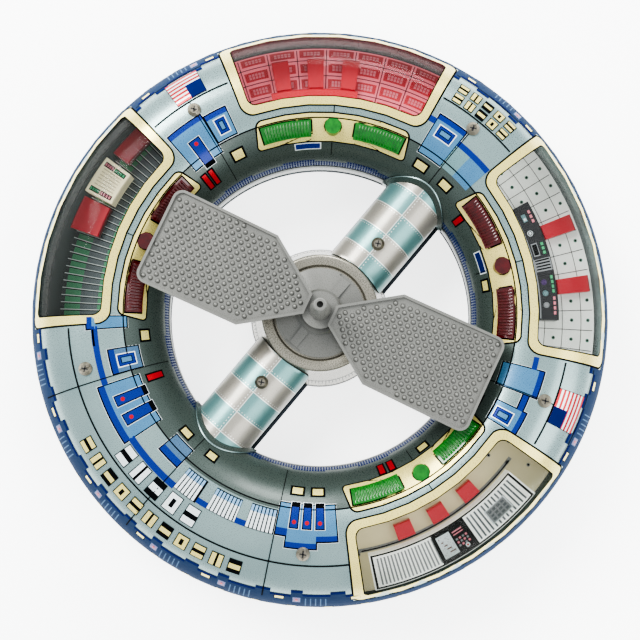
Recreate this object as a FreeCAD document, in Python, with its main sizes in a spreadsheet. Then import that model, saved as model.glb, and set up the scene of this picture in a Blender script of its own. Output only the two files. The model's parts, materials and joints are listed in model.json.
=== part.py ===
import FreeCAD, Part
import math
import os
import Sketcher

# Battery toy space station: a tin ring with four lit rooms, two spokes, a hub and a turning antenna.
# Millimetres; the origin is on the ring axis at floor level and +Z points up.

Vector = FreeCAD.Vector
doc = FreeCAD.newDocument("space_station")
sheet = doc.addObject("Spreadsheet::Sheet", "Sizes")
nodes = []
size_names = []


class Size:
    """A number together with the spreadsheet formula that gives it."""

    def __init__(self, value, formula=None):
        self.value = float(value)
        self.formula = formula or repr(float(value))

    def __add__(self, other):
        return joined(self, "+", other, self.value + number(other))

    def __radd__(self, other):
        return joined(other, "+", self, number(other) + self.value)

    def __sub__(self, other):
        return joined(self, "-", other, self.value - number(other))

    def __rsub__(self, other):
        return joined(other, "-", self, number(other) - self.value)

    def __mul__(self, other):
        return joined(self, "*", other, self.value * number(other))

    def __rmul__(self, other):
        return joined(other, "*", self, number(other) * self.value)

    def __truediv__(self, other):
        return joined(self, "/", other, self.value / number(other))

    def __neg__(self):
        return 0 - self


def number(size):
    return size.value if isinstance(size, Size) else float(size)


def formula_of(size):
    return size.formula if isinstance(size, Size) else repr(float(size))


def joined(left, sign, right, value):
    return Size(value, "(%s %s %s)" % (formula_of(left), sign, formula_of(right)))


def cosine(angle):
    return Size(math.cos(math.radians(number(angle))), "cos(%s)" % formula_of(angle))


def sine(angle):
    return Size(math.sin(math.radians(number(angle))), "sin(%s)" % formula_of(angle))


def arc_cosine(share):
    return Size(math.degrees(math.acos(number(share))), "acos(%s) / 1 deg" % formula_of(share))


def arc_sine(share):
    return Size(math.degrees(math.asin(number(share))), "asin(%s) / 1 deg" % formula_of(share))


def root(square):
    return Size(math.sqrt(number(square)), "sqrt(%s)" % formula_of(square))


def driving(name, value):
    """A size held in the spreadsheet under its own name."""
    size_names.append(name)
    row = len(size_names)
    sheet.set("A%d" % row, name)
    sheet.set("B%d" % row, str(value))
    sheet.setAlias("B%d" % row, name)
    return Size(value, "Sizes." + name)


# Ring
ring_outer = driving("ring_outer_radius", 145)
ring_inner = driving("ring_inner_radius", 76)
ring_crest = driving("ring_crest_height", 64)
crest_flat = driving("ring_crest_flat_width", 5)
hem_level = driving("hem_level", 14)
hem_tuck = driving("hem_tuck", 2.5)
tin = driving("tin_thickness", 0.5)
skin_gap = driving("skin_gap", 0.35)
rest_gap = driving("rest_gap", 0.02)

# Rooms and windows
window_half = driving("window_half_angle", 23.2)
window_outer_slope = driving("window_outer_slope", 39)
window_inner_slope = driving("window_inner_slope", 96.5)
window_inner_corner = driving("window_inner_corner_radius", 4.5)
window_outer_corner = driving("window_outer_corner_radius", 2.5)
window_overlap = driving("window_overlap_angle", 2)
window_thickness = driving("window_thickness", 1)
room_half = driving("room_half_angle", 29)
room_floor = driving("room_floor_height", 22)
room_back_inset = driving("room_back_inset", 9.5)
room_wall_angle = driving("room_wall_angle", 0.25)

# Lens strips inboard of the windows
lens_low_slope = driving("lens_low_slope", 140)
lens_high_slope = driving("lens_high_slope", 112)
bar_low_slope = driving("bar_low_slope", 131)
bar_high_slope = driving("bar_high_slope", 116)
bar_centre = driving("bar_centre_angle", 14.5)
bar_span = driving("bar_span_angle", 15.5)
bar_rise = driving("bar_rise", 1.5)
lens_half = driving("lens_half_angle", 25)
dot_radius = driving("dot_lens_radius", 4)
dot_inset = driving("dot_lens_inset", 17.2)
dot_rise = driving("dot_lens_rise", 2.2)
slot_margin = driving("lens_slot_margin", 0.35)
socket_drop = driving("lamp_socket_drop", 14.2)

# Base pan
pan_floor = driving("pan_floor_height", 8)
pan_hub_inset = driving("pan_hub_inset", 0.7)
lip_width = driving("pan_lip_width", 0.9)
lip_drop = driving("pan_lip_drop", 0.3)
truck_hole = driving("truck_hole_radius", 24)

# Spokes and hub
spoke_half = driving("spoke_half_width", 16)
spoke_drop = driving("spoke_drop", 15)
saddle_width = driving("saddle_width", 3.5)
hub_radius = driving("hub_radius", 28.9)
hub_flare = driving("hub_flare", 7.1)
hub_drop = driving("hub_drop", 13.2)
hub_rim_round = driving("hub_rim_round", 1.5)
dish_inset = driving("dish_inset", 6.1)
dish_depth = driving("dish_depth", 2.2)
dish_hole = driving("dish_hole_radius", 7)
cap_inset = driving("cap_inset", 0.8)
cap_edge_rise = driving("cap_edge_rise", 2)
cap_crown_rise = driving("cap_crown_rise", 5)
cap_rise = driving("cap_rise", 8.4)
collar_radius = driving("collar_radius", 11.1)
cap_rib_half = driving("cap_rib_half_width", 2.2)
cap_slot_half = driving("cap_slot_half_width", 4.5)

# Screws
screw_outset = driving("screw_outset", 2)
screw_head = driving("screw_head_radius", 3.25)
screw_head_height = driving("screw_head_height", 1.9)
screw_shank = driving("screw_shank_radius", 1.4)
screw_bore = driving("screw_bore_radius", 1.5)
post_radius = driving("screw_post_radius", 3)
spoke_screw = driving("spoke_screw_distance", 44.5)

# Gear work
shaft_radius = driving("shaft_radius", 1.5)
pin_radius = driving("pin_radius", 1)
running_fit = driving("running_fit", 0.05)
push_fit = driving("push_fit", 0.02)
plate_margin = driving("gear_plate_margin", 0.9)
plate_thickness = driving("gear_plate_thickness", 1.2)
low_plate = driving("low_plate_height", 23)
high_plate_drop = driving("high_plate_drop", 2.8)
frame_post_inset = driving("frame_post_inset", 2)
frame_post_radius = driving("frame_post_radius", 1.5)
gear_module = driving("gear_module", 0.5)
first_gear_drop = driving("first_gear_drop", 7.8)
second_gear_drop = driving("second_gear_drop", 3.6)
gear_width = driving("gear_width", 2.6)
main_teeth = 50
idler_teeth = 40
pinion_teeth = 12
motor_pin_gap = driving("motor_pin_gap", 2)
motor_height = driving("motor_height", 12.3)
motor_distance = driving("motor_distance", 17.5)

# Truck under the hub
wheel_radius = driving("wheel_radius", 10)
tyre_thickness = driving("tyre_thickness", 1.6)
wheel_width = driving("wheel_width", 4)
wheel_distance = driving("wheel_centre_distance", 16)
truck_plate = driving("truck_plate_height", 20.6)
truck_radius = driving("truck_radius", 20.5)
truck_neck = driving("truck_neck_radius", 6)
cheek_distance = driving("cheek_distance", 11.5)
crown_module = driving("crown_module", 0.7)
crown_teeth = 20
truck_teeth = 9
mesh_gap = driving("crown_mesh_gap", 0.3)

# Casters
caster_inset = driving("caster_inset", 6.5)
caster_wheel = driving("caster_wheel_radius", 2.8)
caster_width = driving("caster_wheel_width", 3)
caster_trail = driving("caster_trail", 3.5)
caster_pin = driving("caster_pin_radius", 2)
caster_bearing = driving("caster_bearing_height", 15)

# Batteries, door and switch
cell_radius = driving("cell_radius", 13.1)
cell_length = driving("cell_length", 50)
cell_line_inset = driving("cell_line_inset", 0.2)
cell_bottom = driving("cell_bottom_height", 10.2)
box_wall = driving("battery_box_wall", 1)
box_clear = driving("battery_box_clearance", 1)
door_shortfall = driving("door_shortfall", 0.2)
hinge_radius = driving("hinge_knuckle_radius", 1.2)
hinge_pin_radius = driving("hinge_pin_radius", 0.6)
ear_distance = driving("hinge_ear_distance", 25.5)
switch_distance = driving("switch_distance", 62)
switch_travel = driving("switch_travel", 4)

# Rotor
rotor_gap = driving("rotor_gap", 0.4)
rotor_radius = driving("rotor_boss_radius", 8.9)
rotor_clear = driving("rotor_clearance_over_ring", 4)
mast_base = driving("mast_base_radius", 5)
mast_tip = driving("mast_tip_radius", 2.9)
mast_height = driving("mast_height", 32)
mast_socket = driving("mast_socket_radius", 1.45)
mast_socket_depth = driving("mast_socket_depth", 8)
paddle_heading = driving("paddle_heading", 194.8)
paddle_near = driving("paddle_near_edge", 6.3)
paddle_near_half = driving("paddle_near_half_width", 5.1)
paddle_shoulder = driving("paddle_shoulder_distance", 33)
paddle_shoulder_half = driving("paddle_shoulder_half_width", 23.4)
paddle_far = driving("paddle_far_edge", 86.3)
paddle_far_half = driving("paddle_far_half_width", 24.1)
paddle_thickness = driving("paddle_thickness", 1.4)
paddle_rim = driving("paddle_rim_width", 1.3)
paddle_rim_height = driving("paddle_rim_height", 1.4)
paddle_corner = driving("paddle_corner_radius", 5)
paddle_peg = driving("paddle_peg_distance", 7.2)
peg_radius = driving("paddle_peg_radius", 0.8)

doc.recompute()

# Values that follow from the driving sizes
degrees_per_radian = 180 / math.pi
tube = (ring_outer - ring_inner - crest_flat) / 2
ring_equator = ring_crest - tube
outer_centre = ring_outer - tube
inner_centre = ring_inner + tube
room_back = inner_centre - room_back_inset
dot_ring = inner_centre - dot_inset
dot_top = ring_equator + root(tube * tube - dot_inset * dot_inset) + dot_rise
socket_top = dot_top - socket_drop
pan_outer = ring_outer - hem_tuck - tin - 0.6
pan_inner = ring_inner + hem_tuck + tin
pan_spoke_half = spoke_half + lip_width
hub_foot = hub_radius + hub_flare
pan_hub = hub_foot - pan_hub_inset
spoke_ridge = ring_crest - spoke_drop
hub_rim = ring_crest - hub_drop
dish_radius = hub_radius - dish_inset
dish_level = hub_rim - dish_depth
cap_radius = dish_radius - cap_inset
cap_edge = dish_level + cap_edge_rise
cap_crown = dish_level + cap_crown_rise
cap_top = dish_level + cap_rise
screw_ring = outer_centre + screw_outset
plate_radius = hub_radius - plate_margin
high_plate = dish_level - high_plate_drop
frame_post_ring = plate_radius - frame_post_inset
first_gear_level = high_plate - first_gear_drop
second_gear_level = high_plate - second_gear_drop
cell_line = (pan_outer + pan_inner) / 2 - cell_line_inset
caster_ring = (ring_outer + ring_inner) / 2 - caster_inset
door_half = cell_length
door_width = cell_radius * 2 - door_shortfall
rotor_bottom = cap_top + rotor_gap
rotor_shoulder = ring_crest + rotor_clear
mast_top = rotor_shoulder + mast_height
pan_top = pan_floor + tin
tube_inside = tube - tin
pane_outside = tube_inside - skin_gap
pane_inside = pane_outside - window_thickness
room_headings = {"cream_room": -18, "grey_room": 54, "red_room": 126, "green_room": 198}
screw_headings = [-54, 18, 90, 162, 234]
caster_headings = [90, 210, 330]


def keep(feature, node):
    feature.Label = node
    nodes.append(feature)
    return feature


def origin_item(body, role):
    return [item for item in body.Origin.OriginFeatures if item.Role == role][0]


def new_body(label):
    return doc.addObject("PartDesign::Body", label)


def sketch_on(body, role, level=0, turn=0):
    """A sketch on an origin plane, lifted by level or turned about the upright axis."""
    sketch = body.newObject("Sketcher::SketchObject", body.Name + "_sketch")
    sketch.AttachmentSupport = (origin_item(body, role), [""])
    sketch.MapMode = "FlatFace"
    upright = Vector(0, 1, 0) if role == "XZ_Plane" else Vector(0, 0, 1)
    sketch.AttachmentOffset = FreeCAD.Placement(
        Vector(0, 0, number(level)), FreeCAD.Rotation(upright, number(turn)))
    if isinstance(level, Size):
        sketch.setExpression("AttachmentOffset.Base.z", level.formula)
    if isinstance(turn, Size):
        sketch.setExpression("AttachmentOffset.Rotation.Angle", turn.formula)
    return sketch


def bind(sketch, kind, geometry, point, size):
    if point is None:
        index = sketch.addConstraint(Sketcher.Constraint(kind, geometry, number(size)))
    else:
        index = sketch.addConstraint(Sketcher.Constraint(kind, geometry, point, number(size)))
    sketch.setExpression("Constraints[%d]" % index, formula_of(size))


def outline(sketch, corners, arcs=None):
    """A closed outline; arcs maps a side to (centre x, centre y, radius, +1 or -1 turn)."""
    arcs = arcs or {}
    first = sketch.GeometryCount
    count = len(corners)
    points = [Vector(number(x), number(y), 0) for x, y in corners]
    for side in range(count):
        start = points[side]
        end = points[(side + 1) % count]
        if side not in arcs:
            sketch.addGeometry(Part.LineSegment(start, end), False)
            continue
        x, y, radius, turn = arcs[side]
        if turn < 0:
            start, end = end, start
        begin = math.atan2(start.y - number(y), start.x - number(x))
        finish = math.atan2(end.y - number(y), end.x - number(x))
        if finish <= begin:
            finish += 2 * math.pi
        circle = Part.Circle(Vector(number(x), number(y), 0), Vector(0, 0, 1), number(radius))
        sketch.addGeometry(Part.ArcOfCircle(circle, begin, finish), False)
    starts = [2 if side in arcs and arcs[side][3] < 0 else 1 for side in range(count)]
    for side in range(count):
        following = (side + 1) % count
        sketch.addConstraint(Sketcher.Constraint(
            "Coincident", first + side, 3 - starts[side], first + following, starts[following]))
    for side, (x, y) in enumerate(corners):
        bind(sketch, "DistanceX", first + side, starts[side], x)
        bind(sketch, "DistanceY", first + side, starts[side], y)
    for side in arcs:
        chord = points[(side + 1) % count] - points[side]
        if abs(chord.x) > abs(chord.y):
            bind(sketch, "DistanceY", first + side, 3, arcs[side][1])
        else:
            bind(sketch, "DistanceX", first + side, 3, arcs[side][0])


def circle_in(sketch, x, y, radius):
    index = sketch.addGeometry(
        Part.Circle(Vector(number(x), number(y), 0), Vector(0, 0, 1), number(radius)), False)
    bind(sketch, "DistanceX", index, 3, x)
    bind(sketch, "DistanceY", index, 3, y)
    bind(sketch, "Radius", index, None, radius)


def set_size(feature, name, size):
    setattr(feature, name, number(size))
    if isinstance(size, Size):
        feature.setExpression(name, size.formula)


def revolve(body, corners, arcs=None, angle=360, turn=0, kind="Revolution"):
    """Turns an outline (radius, height) about the upright axis, evenly to both sides of turn."""
    sketch = sketch_on(body, "XZ_Plane", 0, turn)
    outline(sketch, corners, arcs)
    feature = body.newObject("PartDesign::" + kind, body.Name + "_" + kind.lower())
    feature.Profile = (sketch, [""])
    feature.ReferenceAxis = (sketch, ["V_Axis"])
    if number(angle) < 360:
        feature.Midplane = True
    set_size(feature, "Angle", angle)
    return feature


def pad(body, corners, level, height, arcs=None, role="XY_Plane", turn=0, centred=False):
    sketch = sketch_on(body, role, level, turn)
    outline(sketch, corners, arcs)
    return raise_sketch(body, sketch, height, centred)


def pad_circles(body, circles, level, height, role="XY_Plane", centred=False):
    sketch = sketch_on(body, role, level)
    for x, y, radius in circles:
        circle_in(sketch, x, y, radius)
    return raise_sketch(body, sketch, height, centred)


def raise_sketch(body, sketch, height, centred):
    feature = body.newObject("PartDesign::Pad", body.Name + "_pad")
    feature.Profile = (sketch, [""])
    feature.Midplane = centred
    set_size(feature, "Length", height)
    return feature


def pocket_up(body, sketch, height):
    """Removes material from the sketch upward (along the sketch normal)."""
    feature = body.newObject("PartDesign::Pocket", body.Name + "_pocket")
    feature.Profile = (sketch, [""])
    feature.Reversed = True
    set_size(feature, "Length", height)
    return feature


def bore(body, circles, level, height):
    sketch = sketch_on(body, "XY_Plane", level)
    for x, y, radius in circles:
        circle_in(sketch, x, y, radius)
    return pocket_up(body, sketch, height)


def pattern(body, features, count, whole=360):
    feature = body.newObject("PartDesign::PolarPattern", body.Name + "_pattern")
    feature.Originals = features
    feature.Axis = (origin_item(body, "Z_Axis"), [""])
    feature.Angle = whole
    feature.Occurrences = count
    body.Tip = feature
    return feature


def place(feature, x=0, y=0, z=0, turn=0, axis=(0, 0, 1)):
    feature.Placement = FreeCAD.Placement(
        Vector(number(x), number(y), number(z)), FreeCAD.Rotation(Vector(*axis), number(turn)))
    for name, size in (("Base.x", x), ("Base.y", y), ("Base.z", z), ("Rotation.Angle", turn)):
        if isinstance(size, Size):
            feature.setExpression("Placement." + name, size.formula)
    return feature


def box(x, y, z, length, width, height):
    """A block from its low corner."""
    feature = doc.addObject("Part::Box", "block")
    set_size(feature, "Length", length)
    set_size(feature, "Width", width)
    set_size(feature, "Height", height)
    return place(feature, x, y, z)


def cylinder(radius, z, height, x=0, y=0):
    feature = doc.addObject("Part::Cylinder", "rod")
    set_size(feature, "Radius", radius)
    set_size(feature, "Height", height)
    return place(feature, x, y, z)


def lying_rod(radius, x, y, z, length):
    """A rod along X from its low end."""
    feature = doc.addObject("Part::Cylinder", "rod")
    set_size(feature, "Radius", radius)
    set_size(feature, "Height", length)
    return place(feature, x, y, z, 90, (0, 1, 0))


def cut(base, tool):
    feature = doc.addObject("Part::Cut", "cut")
    feature.Base = base
    feature.Tool = tool
    return feature


def fuse(*pieces):
    feature = doc.addObject("Part::MultiFuse", "fused")
    feature.Shapes = list(pieces)
    feature.Refine = True
    return feature


def common(first, second):
    feature = doc.addObject("Part::MultiCommon", "common")
    feature.Shapes = [first, second]
    return feature


def together(*pieces):
    feature = doc.addObject("Part::Compound", "group")
    feature.Links = list(pieces)
    return feature


def rectangle(low_x, high_x, low_y, high_y):
    return [(low_x, low_y), (high_x, low_y), (high_x, high_y), (low_x, high_y)]


def polar(radius, angle):
    return radius * cosine(angle), radius * sine(angle)


def on_inner_arc(radius, slope):
    """A point of the ring's inner round, by radius about its centre and slope from outward."""
    return inner_centre + radius * cosine(slope), ring_equator + radius * sine(slope)


def on_outer_arc(radius, slope):
    return outer_centre + radius * cosine(slope), ring_equator + radius * sine(slope)


# ---- ring ----

def lens_arc_outline(low_slope, high_slope, outside, inside):
    corners = [on_inner_arc(outside, high_slope), on_inner_arc(outside, low_slope),
               on_inner_arc(inside, low_slope), on_inner_arc(inside, high_slope)]
    arcs = {0: (inner_centre, ring_equator, outside, 1),
            2: (inner_centre, ring_equator, inside, -1)}
    return corners, arcs


def ring_outline(outside, hem_out, hem_in, bottom):
    """Half outline of the ring's tube from the outer hem over the crest to the inner hem."""
    corners = [(hem_out, bottom), (outer_centre + outside, ring_equator),
               (outer_centre, ring_equator + outside), (inner_centre, ring_equator + outside),
               (inner_centre - outside, ring_equator), (hem_in, bottom)]
    return corners


def make_ring_shell():
    body = new_body("ring_shell")
    hem_out = ring_outer - hem_tuck
    hem_in = ring_inner + hem_tuck
    corners = ring_outline(tube, hem_out, hem_in, hem_level)
    corners += list(reversed(ring_outline(tube_inside, hem_out - tin, hem_in + tin, hem_level)))
    arcs = {1: (outer_centre, ring_equator, tube, 1), 3: (inner_centre, ring_equator, tube, 1),
            7: (inner_centre, ring_equator, tube_inside, -1),
            9: (outer_centre, ring_equator, tube_inside, -1)}
    revolve(body, corners, arcs)
    first = room_headings["cream_room"]
    near = inner_centre + tube * cosine(window_inner_slope)
    far = outer_centre + tube * cosine(window_outer_slope)
    window = sketch_on(body, "XY_Plane", ring_equator, first)
    outline(window, *sector_outline(window_half, near, far, window_inner_corner,
                                    window_outer_corner))
    openings = [pocket_up(body, window, ring_crest)]
    spread = slot_margin / tube * degrees_per_radian
    slot = lens_arc_outline(bar_low_slope + spread, bar_high_slope - spread, tube + tin,
                            tube_inside - tin)
    for side in (-1, 1):
        openings.append(revolve(body, slot[0], slot[1], bar_span + 0.6, first + side * bar_centre,
                                "Groove"))
    dot = sketch_on(body, "XY_Plane", ring_equator, first)
    circle_in(dot, dot_ring, 0, dot_radius + slot_margin)
    openings.append(pocket_up(body, dot, ring_crest))
    pattern(body, openings, 4, 216)
    hole = sketch_on(body, "XY_Plane", ring_equator, screw_headings[0])
    circle_in(hole, screw_ring, 0, screw_bore)
    pattern(body, [pocket_up(body, hole, ring_crest)], 5)
    keep(body, "ring_shell")


def sector_outline(half, near, far, near_round, far_round):
    """A slice of a ring in plan, with its four corners rounded."""
    near_mid = near + near_round
    far_mid = far - far_round
    near_turn = half - arc_sine(near_round / near_mid)
    far_turn = half - arc_sine(far_round / far_mid)
    near_reach = root(near_mid * near_mid - near_round * near_round)
    far_reach = root(far_mid * far_mid - far_round * far_round)
    corners = [polar(near, -near_turn), polar(near_reach, -half), polar(far_reach, -half),
               polar(far, -far_turn), polar(far, far_turn), polar(far_reach, half),
               polar(near_reach, half), polar(near, near_turn)]
    arcs = {0: polar(near_mid, -near_turn) + (near_round, 1),
            2: polar(far_mid, -far_turn) + (far_round, 1), 3: (0, 0, far, 1),
            4: polar(far_mid, far_turn) + (far_round, 1),
            6: polar(near_mid, near_turn) + (near_round, 1), 7: (0, 0, near, -1)}
    return corners, arcs


def make_window(room, heading):
    body = new_body("window_" + room)
    low = window_outer_slope - window_overlap
    high = window_inner_slope + window_overlap
    top = ring_equator + pane_outside
    under = ring_equator + pane_inside
    corners = [on_outer_arc(pane_outside, low), (outer_centre, top), (inner_centre, top),
               on_inner_arc(pane_outside, high), on_inner_arc(pane_inside, high),
               (inner_centre, under), (outer_centre, under), on_outer_arc(pane_inside, low)]
    arcs = {0: (outer_centre, ring_equator, pane_outside, 1),
            2: (inner_centre, ring_equator, pane_outside, 1),
            4: (inner_centre, ring_equator, pane_inside, -1),
            6: (outer_centre, ring_equator, pane_inside, -1)}
    revolve(body, corners, arcs, (window_half + window_overlap) * 2)
    keep(place(body, turn=heading), "window_" + room)


def make_liner(room, heading):
    """The printed tray of a room: floor, back wall and two end walls."""
    body = new_body("liner_" + room)
    inside = pane_outside - 0.15
    back_drop = inner_centre - room_back
    back_top = ring_equator + root(inside * inside - back_drop * back_drop)
    foot = ring_outer - hem_tuck - tin - skin_gap
    corners = [(room_back, room_floor), (foot, room_floor), (outer_centre + inside, ring_equator),
               (outer_centre, ring_equator + inside), (inner_centre, ring_equator + inside),
               (room_back, back_top)]
    arcs = {2: (outer_centre, ring_equator, inside, 1), 4: (inner_centre, ring_equator, inside, 1)}
    revolve(body, corners, arcs, room_half * 2)
    air = rectangle(room_back + tin, ring_outer, room_floor + tin, ring_crest)
    revolve(body, air, None, (room_half - room_wall_angle) * 2, 0, "Groove")
    keep(place(body, turn=heading), "liner_" + room)


def make_lens(room, heading):
    body = new_body("lens_" + room)
    strip = lens_arc_outline(lens_low_slope, lens_high_slope, pane_outside, pane_inside)
    revolve(body, strip[0], strip[1], lens_half * 2)
    bar = lens_arc_outline(bar_low_slope, bar_high_slope, tube + bar_rise, pane_outside - 0.5)
    for side in (-1, 1):
        revolve(body, bar[0], bar[1], bar_span, side * bar_centre)
    drop = inner_centre - dot_ring
    seat = ring_equator + root(pane_outside * pane_outside - drop * drop) - 3
    pad_circles(body, [(dot_ring, 0, dot_radius)], seat, dot_top - seat)
    keep(place(body, turn=heading), "lens_" + room)


def make_arc_blocks(node, blocks, bottom, height, round_top=0.6):
    """Curved blocks in a room: heading, width in degrees, near and far distance from the back wall."""
    body = new_body(node)
    for heading, span, near_gap, far_gap in blocks:
        near = room_back + near_gap
        far = room_back + far_gap
        corners = [(near, bottom), (far, bottom), (far, bottom + height - round_top),
                   (far - round_top, bottom + height), (near + round_top, bottom + height),
                   (near, bottom + height - round_top)]
        revolve(body, corners, None, span, heading)
    keep(body, node)


def make_furniture():
    floor = room_floor + tin + rest_gap
    make_arc_blocks("red_room_bench", [(131.4, 22, 14.5, 19.9)], floor, 7)
    make_arc_blocks("red_room_seats", [(139, 3.7, 20.5, 36.5), (131, 3.7, 20.5, 36.5),
                                       (123, 3.7, 20.5, 36.5)], floor, 5)
    make_arc_blocks("green_room_console", [(187.6, 8.5, 22.5, 38.5)], floor, 9)
    make_arc_blocks("green_room_seats", [(196.6, 7.5, 23, 38.5), (177.6, 8, 28.5, 38.5)], floor, 5)
    make_arc_blocks("grey_room_console", [(53.8, 30, 13, 23)], floor, 10)
    make_arc_blocks("grey_room_seats", [(60.5, 3.5, 24, 41), (47, 3.5, 24, 41)],
                    floor, 5)
    make_arc_blocks("cream_room_console", [(-19.1, 39, 24.5, 42)], floor, 10)
    make_arc_blocks("cream_room_seats", [(-10, 4.5, 14, 22), (-19.2, 4.5, 14, 22),
                                         (-28.5, 4.5, 14, 22)], floor, 5)


def make_lamps():
    sockets = new_body("lamp_sockets")
    bulbs = new_body("lamp_bulbs")
    first = room_headings["cream_room"]
    tower = revolve_about(sockets, [(0, pan_top + rest_gap), (4.5, pan_top + rest_gap),
                                    (4.5, pan_top + 1.5), (3, pan_top + 2.5), (3, socket_top - 6),
                                    (5, socket_top - 5), (5, socket_top), (4.4, socket_top),
                                    (4.4, socket_top - 4), (0, socket_top - 4)], dot_ring, first)
    pattern(sockets, [tower], 4, 216)
    glass = revolve_about(bulbs, [(0, socket_top - 3.8), (4.3, socket_top - 3.8),
                                  (4.3, socket_top + 0.5), (4.3, socket_top + 1.5),
                                  (0, socket_top + 5.8)], dot_ring, first,
                          {3: (0, socket_top + 1.5, 4.3, 1)})
    pattern(bulbs, [glass], 4, 216)
    keep(sockets, "lamp_sockets")
    keep(bulbs, "lamp_bulbs")


def revolve_about(body, corners, distance, heading, arcs=None):
    """Turns an outline about its own upright axis, standing at a distance from the ring axis."""
    sketch = sketch_on(body, "XZ_Plane", 0, heading)
    shifted = [(distance + x, y) for x, y in corners]
    moved = {side: (distance + arc[0],) + tuple(arc[1:]) for side, arc in (arcs or {}).items()}
    outline(sketch, shifted, moved)
    line = sketch.addGeometry(Part.LineSegment(
        Vector(number(distance), 0, 0), Vector(number(distance), 10, 0)), True)
    sketch.addConstraint(Sketcher.Constraint("Vertical", line))
    bind(sketch, "DistanceX", line, 1, distance)
    bind(sketch, "DistanceY", line, 1, 0)
    bind(sketch, "DistanceY", line, 2, 10)
    feature = body.newObject("PartDesign::Revolution", body.Name + "_turned")
    feature.Profile = (sketch, [""])
    feature.ReferenceAxis = (sketch, ["Axis0"])
    return feature


# ---- base pan, posts and screws ----

def plan_slab(level, height, outer, inner, half_width, hub):
    """The plan of the toy as a slab: a ring, a strip for both spokes and a hub disc."""
    ring = cut(cylinder(outer, level, height), cylinder(inner, level, height))
    strip = box(-half_width, -(inner + 1), level, half_width * 2, (inner + 1) * 2, height)
    return fuse(ring, strip, cylinder(hub, level, height))


def make_base_pan():
    lip_level = hem_level - lip_drop - tin
    tub = plan_slab(pan_floor, lip_level + tin - pan_floor, pan_outer, pan_inner, pan_spoke_half,
                    pan_hub)
    lip = plan_slab(lip_level, tin, pan_outer + lip_width, pan_inner - lip_width,
                    pan_spoke_half + lip_width, pan_hub + lip_width)
    hollow = plan_slab(pan_top, hem_level, pan_outer - tin, pan_inner + tin, pan_spoke_half - tin,
                       pan_hub - tin)
    bearings = [cylinder(caster_pin + 2, pan_floor, caster_bearing - pan_floor,
                         *polar(caster_ring, heading)) for heading in caster_headings]
    pin_holes = [cylinder(caster_pin + running_fit, pan_floor - 1, caster_bearing,
                          *polar(caster_ring, heading)) for heading in caster_headings]
    door_hole = box(-door_half, -(cell_line + door_width / 2), pan_floor - 1, door_half * 2,
                    door_width + 2.5, 3)
    slot = box(-(switch_travel + 4.6) / 2, switch_distance - 1.8, pan_floor - 1,
               switch_travel + 4.6, 3.6, 3)
    ears = []
    for side in (-1, 1):
        ear = box(side * ear_distance - 1.5, hinge_line - hinge_radius, hinge_height - hinge_radius, 3,
                  hinge_radius * 2 + 2.5, pan_top - hinge_height + hinge_radius)
        ears.append(cut(ear, lying_rod(hinge_pin_radius + running_fit, side * ear_distance - 2,
                                       hinge_line, hinge_height, 4)))
    hub_hole = cylinder(truck_hole, pan_floor - 1, 3)
    shell = cut(fuse(tub, lip), hollow)
    solid = cut(fuse(shell, *bearings), fuse(door_hole, slot, hub_hole, *pin_holes))
    keep(fuse(solid, *ears), "base_pan")


def make_posts_and_screws():
    posts = new_body("ring_posts")
    post_top = ring_crest - tin - skin_gap - 0.4
    shape = rectangle(screw_bore, post_radius, pan_top + rest_gap, post_top)
    pattern(posts, [revolve_about(posts, shape, screw_ring, screw_headings[0])], 5)
    ring_screws = new_body("ring_screws")
    screw = revolve_about(ring_screws, screw_outline(ring_crest + 0.05, 22), screw_ring,
                          screw_headings[0])
    slot_shape = rectangle(screw_ring - screw_head, screw_ring + screw_head, -0.4, 0.4)
    sketch = sketch_on(ring_screws, "XY_Plane", ring_crest + screw_head_height - 0.7,
                       screw_headings[0])
    outline(sketch, slot_shape)
    pattern(ring_screws, [screw, pocket_up(ring_screws, sketch, 3)], 5)
    spoke_posts = new_body("spoke_posts")
    post = rectangle(screw_bore, post_radius, pan_top + rest_gap, spoke_ridge - tin - 0.8)
    pattern(spoke_posts, [revolve_about(spoke_posts, post, spoke_screw, 90)], 2)
    spoke_screws = new_body("spoke_screws")
    screw = revolve_about(spoke_screws, screw_outline(spoke_ridge + 0.05, 16), spoke_screw, 90)
    pattern(spoke_screws, [screw], 2)
    keep(together(posts, spoke_posts), "screw_posts")
    keep(together(ring_screws, spoke_screws), "cover_screws")


def screw_outline(seat, length):
    return [(0, seat - length), (screw_shank, seat - length), (screw_shank, seat),
            (screw_head, seat), (screw_head, seat + 0.6), (screw_head * 0.6, seat + screw_head_height),
            (0, seat + screw_head_height)]


# ---- spokes and hub ----

def arch_slab(label, half_width, ridge, inside_half, near, length):
    """A half-tube along Y: straight sides under a round arch, open underneath."""
    body = new_body(label)
    spring = ridge - half_width
    corners = [(half_width, hem_level), (half_width, spring), (-half_width, spring),
               (-half_width, hem_level), (-inside_half, hem_level), (-inside_half, spring),
               (inside_half, spring), (inside_half, hem_level)]
    arcs = {1: (0, spring, half_width, 1), 5: (0, spring, inside_half, -1)}
    sketch = sketch_on(body, "XZ_Plane")
    outline(sketch, corners, arcs)
    raise_sketch(body, sketch, length, False)
    return place(body, 0, near + length)


def ring_envelope(label, outside, inside=None):
    """The ring's outer form grown by a margin, solid or as a skin."""
    body = new_body(label)
    top = ring_outline(outside, outer_centre + outside - hem_tuck,
                       inner_centre - outside + hem_tuck, hem_level)
    arcs = {1: (outer_centre, ring_equator, outside, 1), 3: (inner_centre, ring_equator, outside, 1)}
    if inside is not None:
        top += list(reversed(ring_outline(inside, outer_centre + inside - hem_tuck,
                                          inner_centre - inside + hem_tuck, hem_level)))
        arcs[7] = (inner_centre, ring_equator, inside, -1)
        arcs[9] = (outer_centre, ring_equator, inside, -1)
    revolve(body, top, arcs)
    return body


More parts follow.
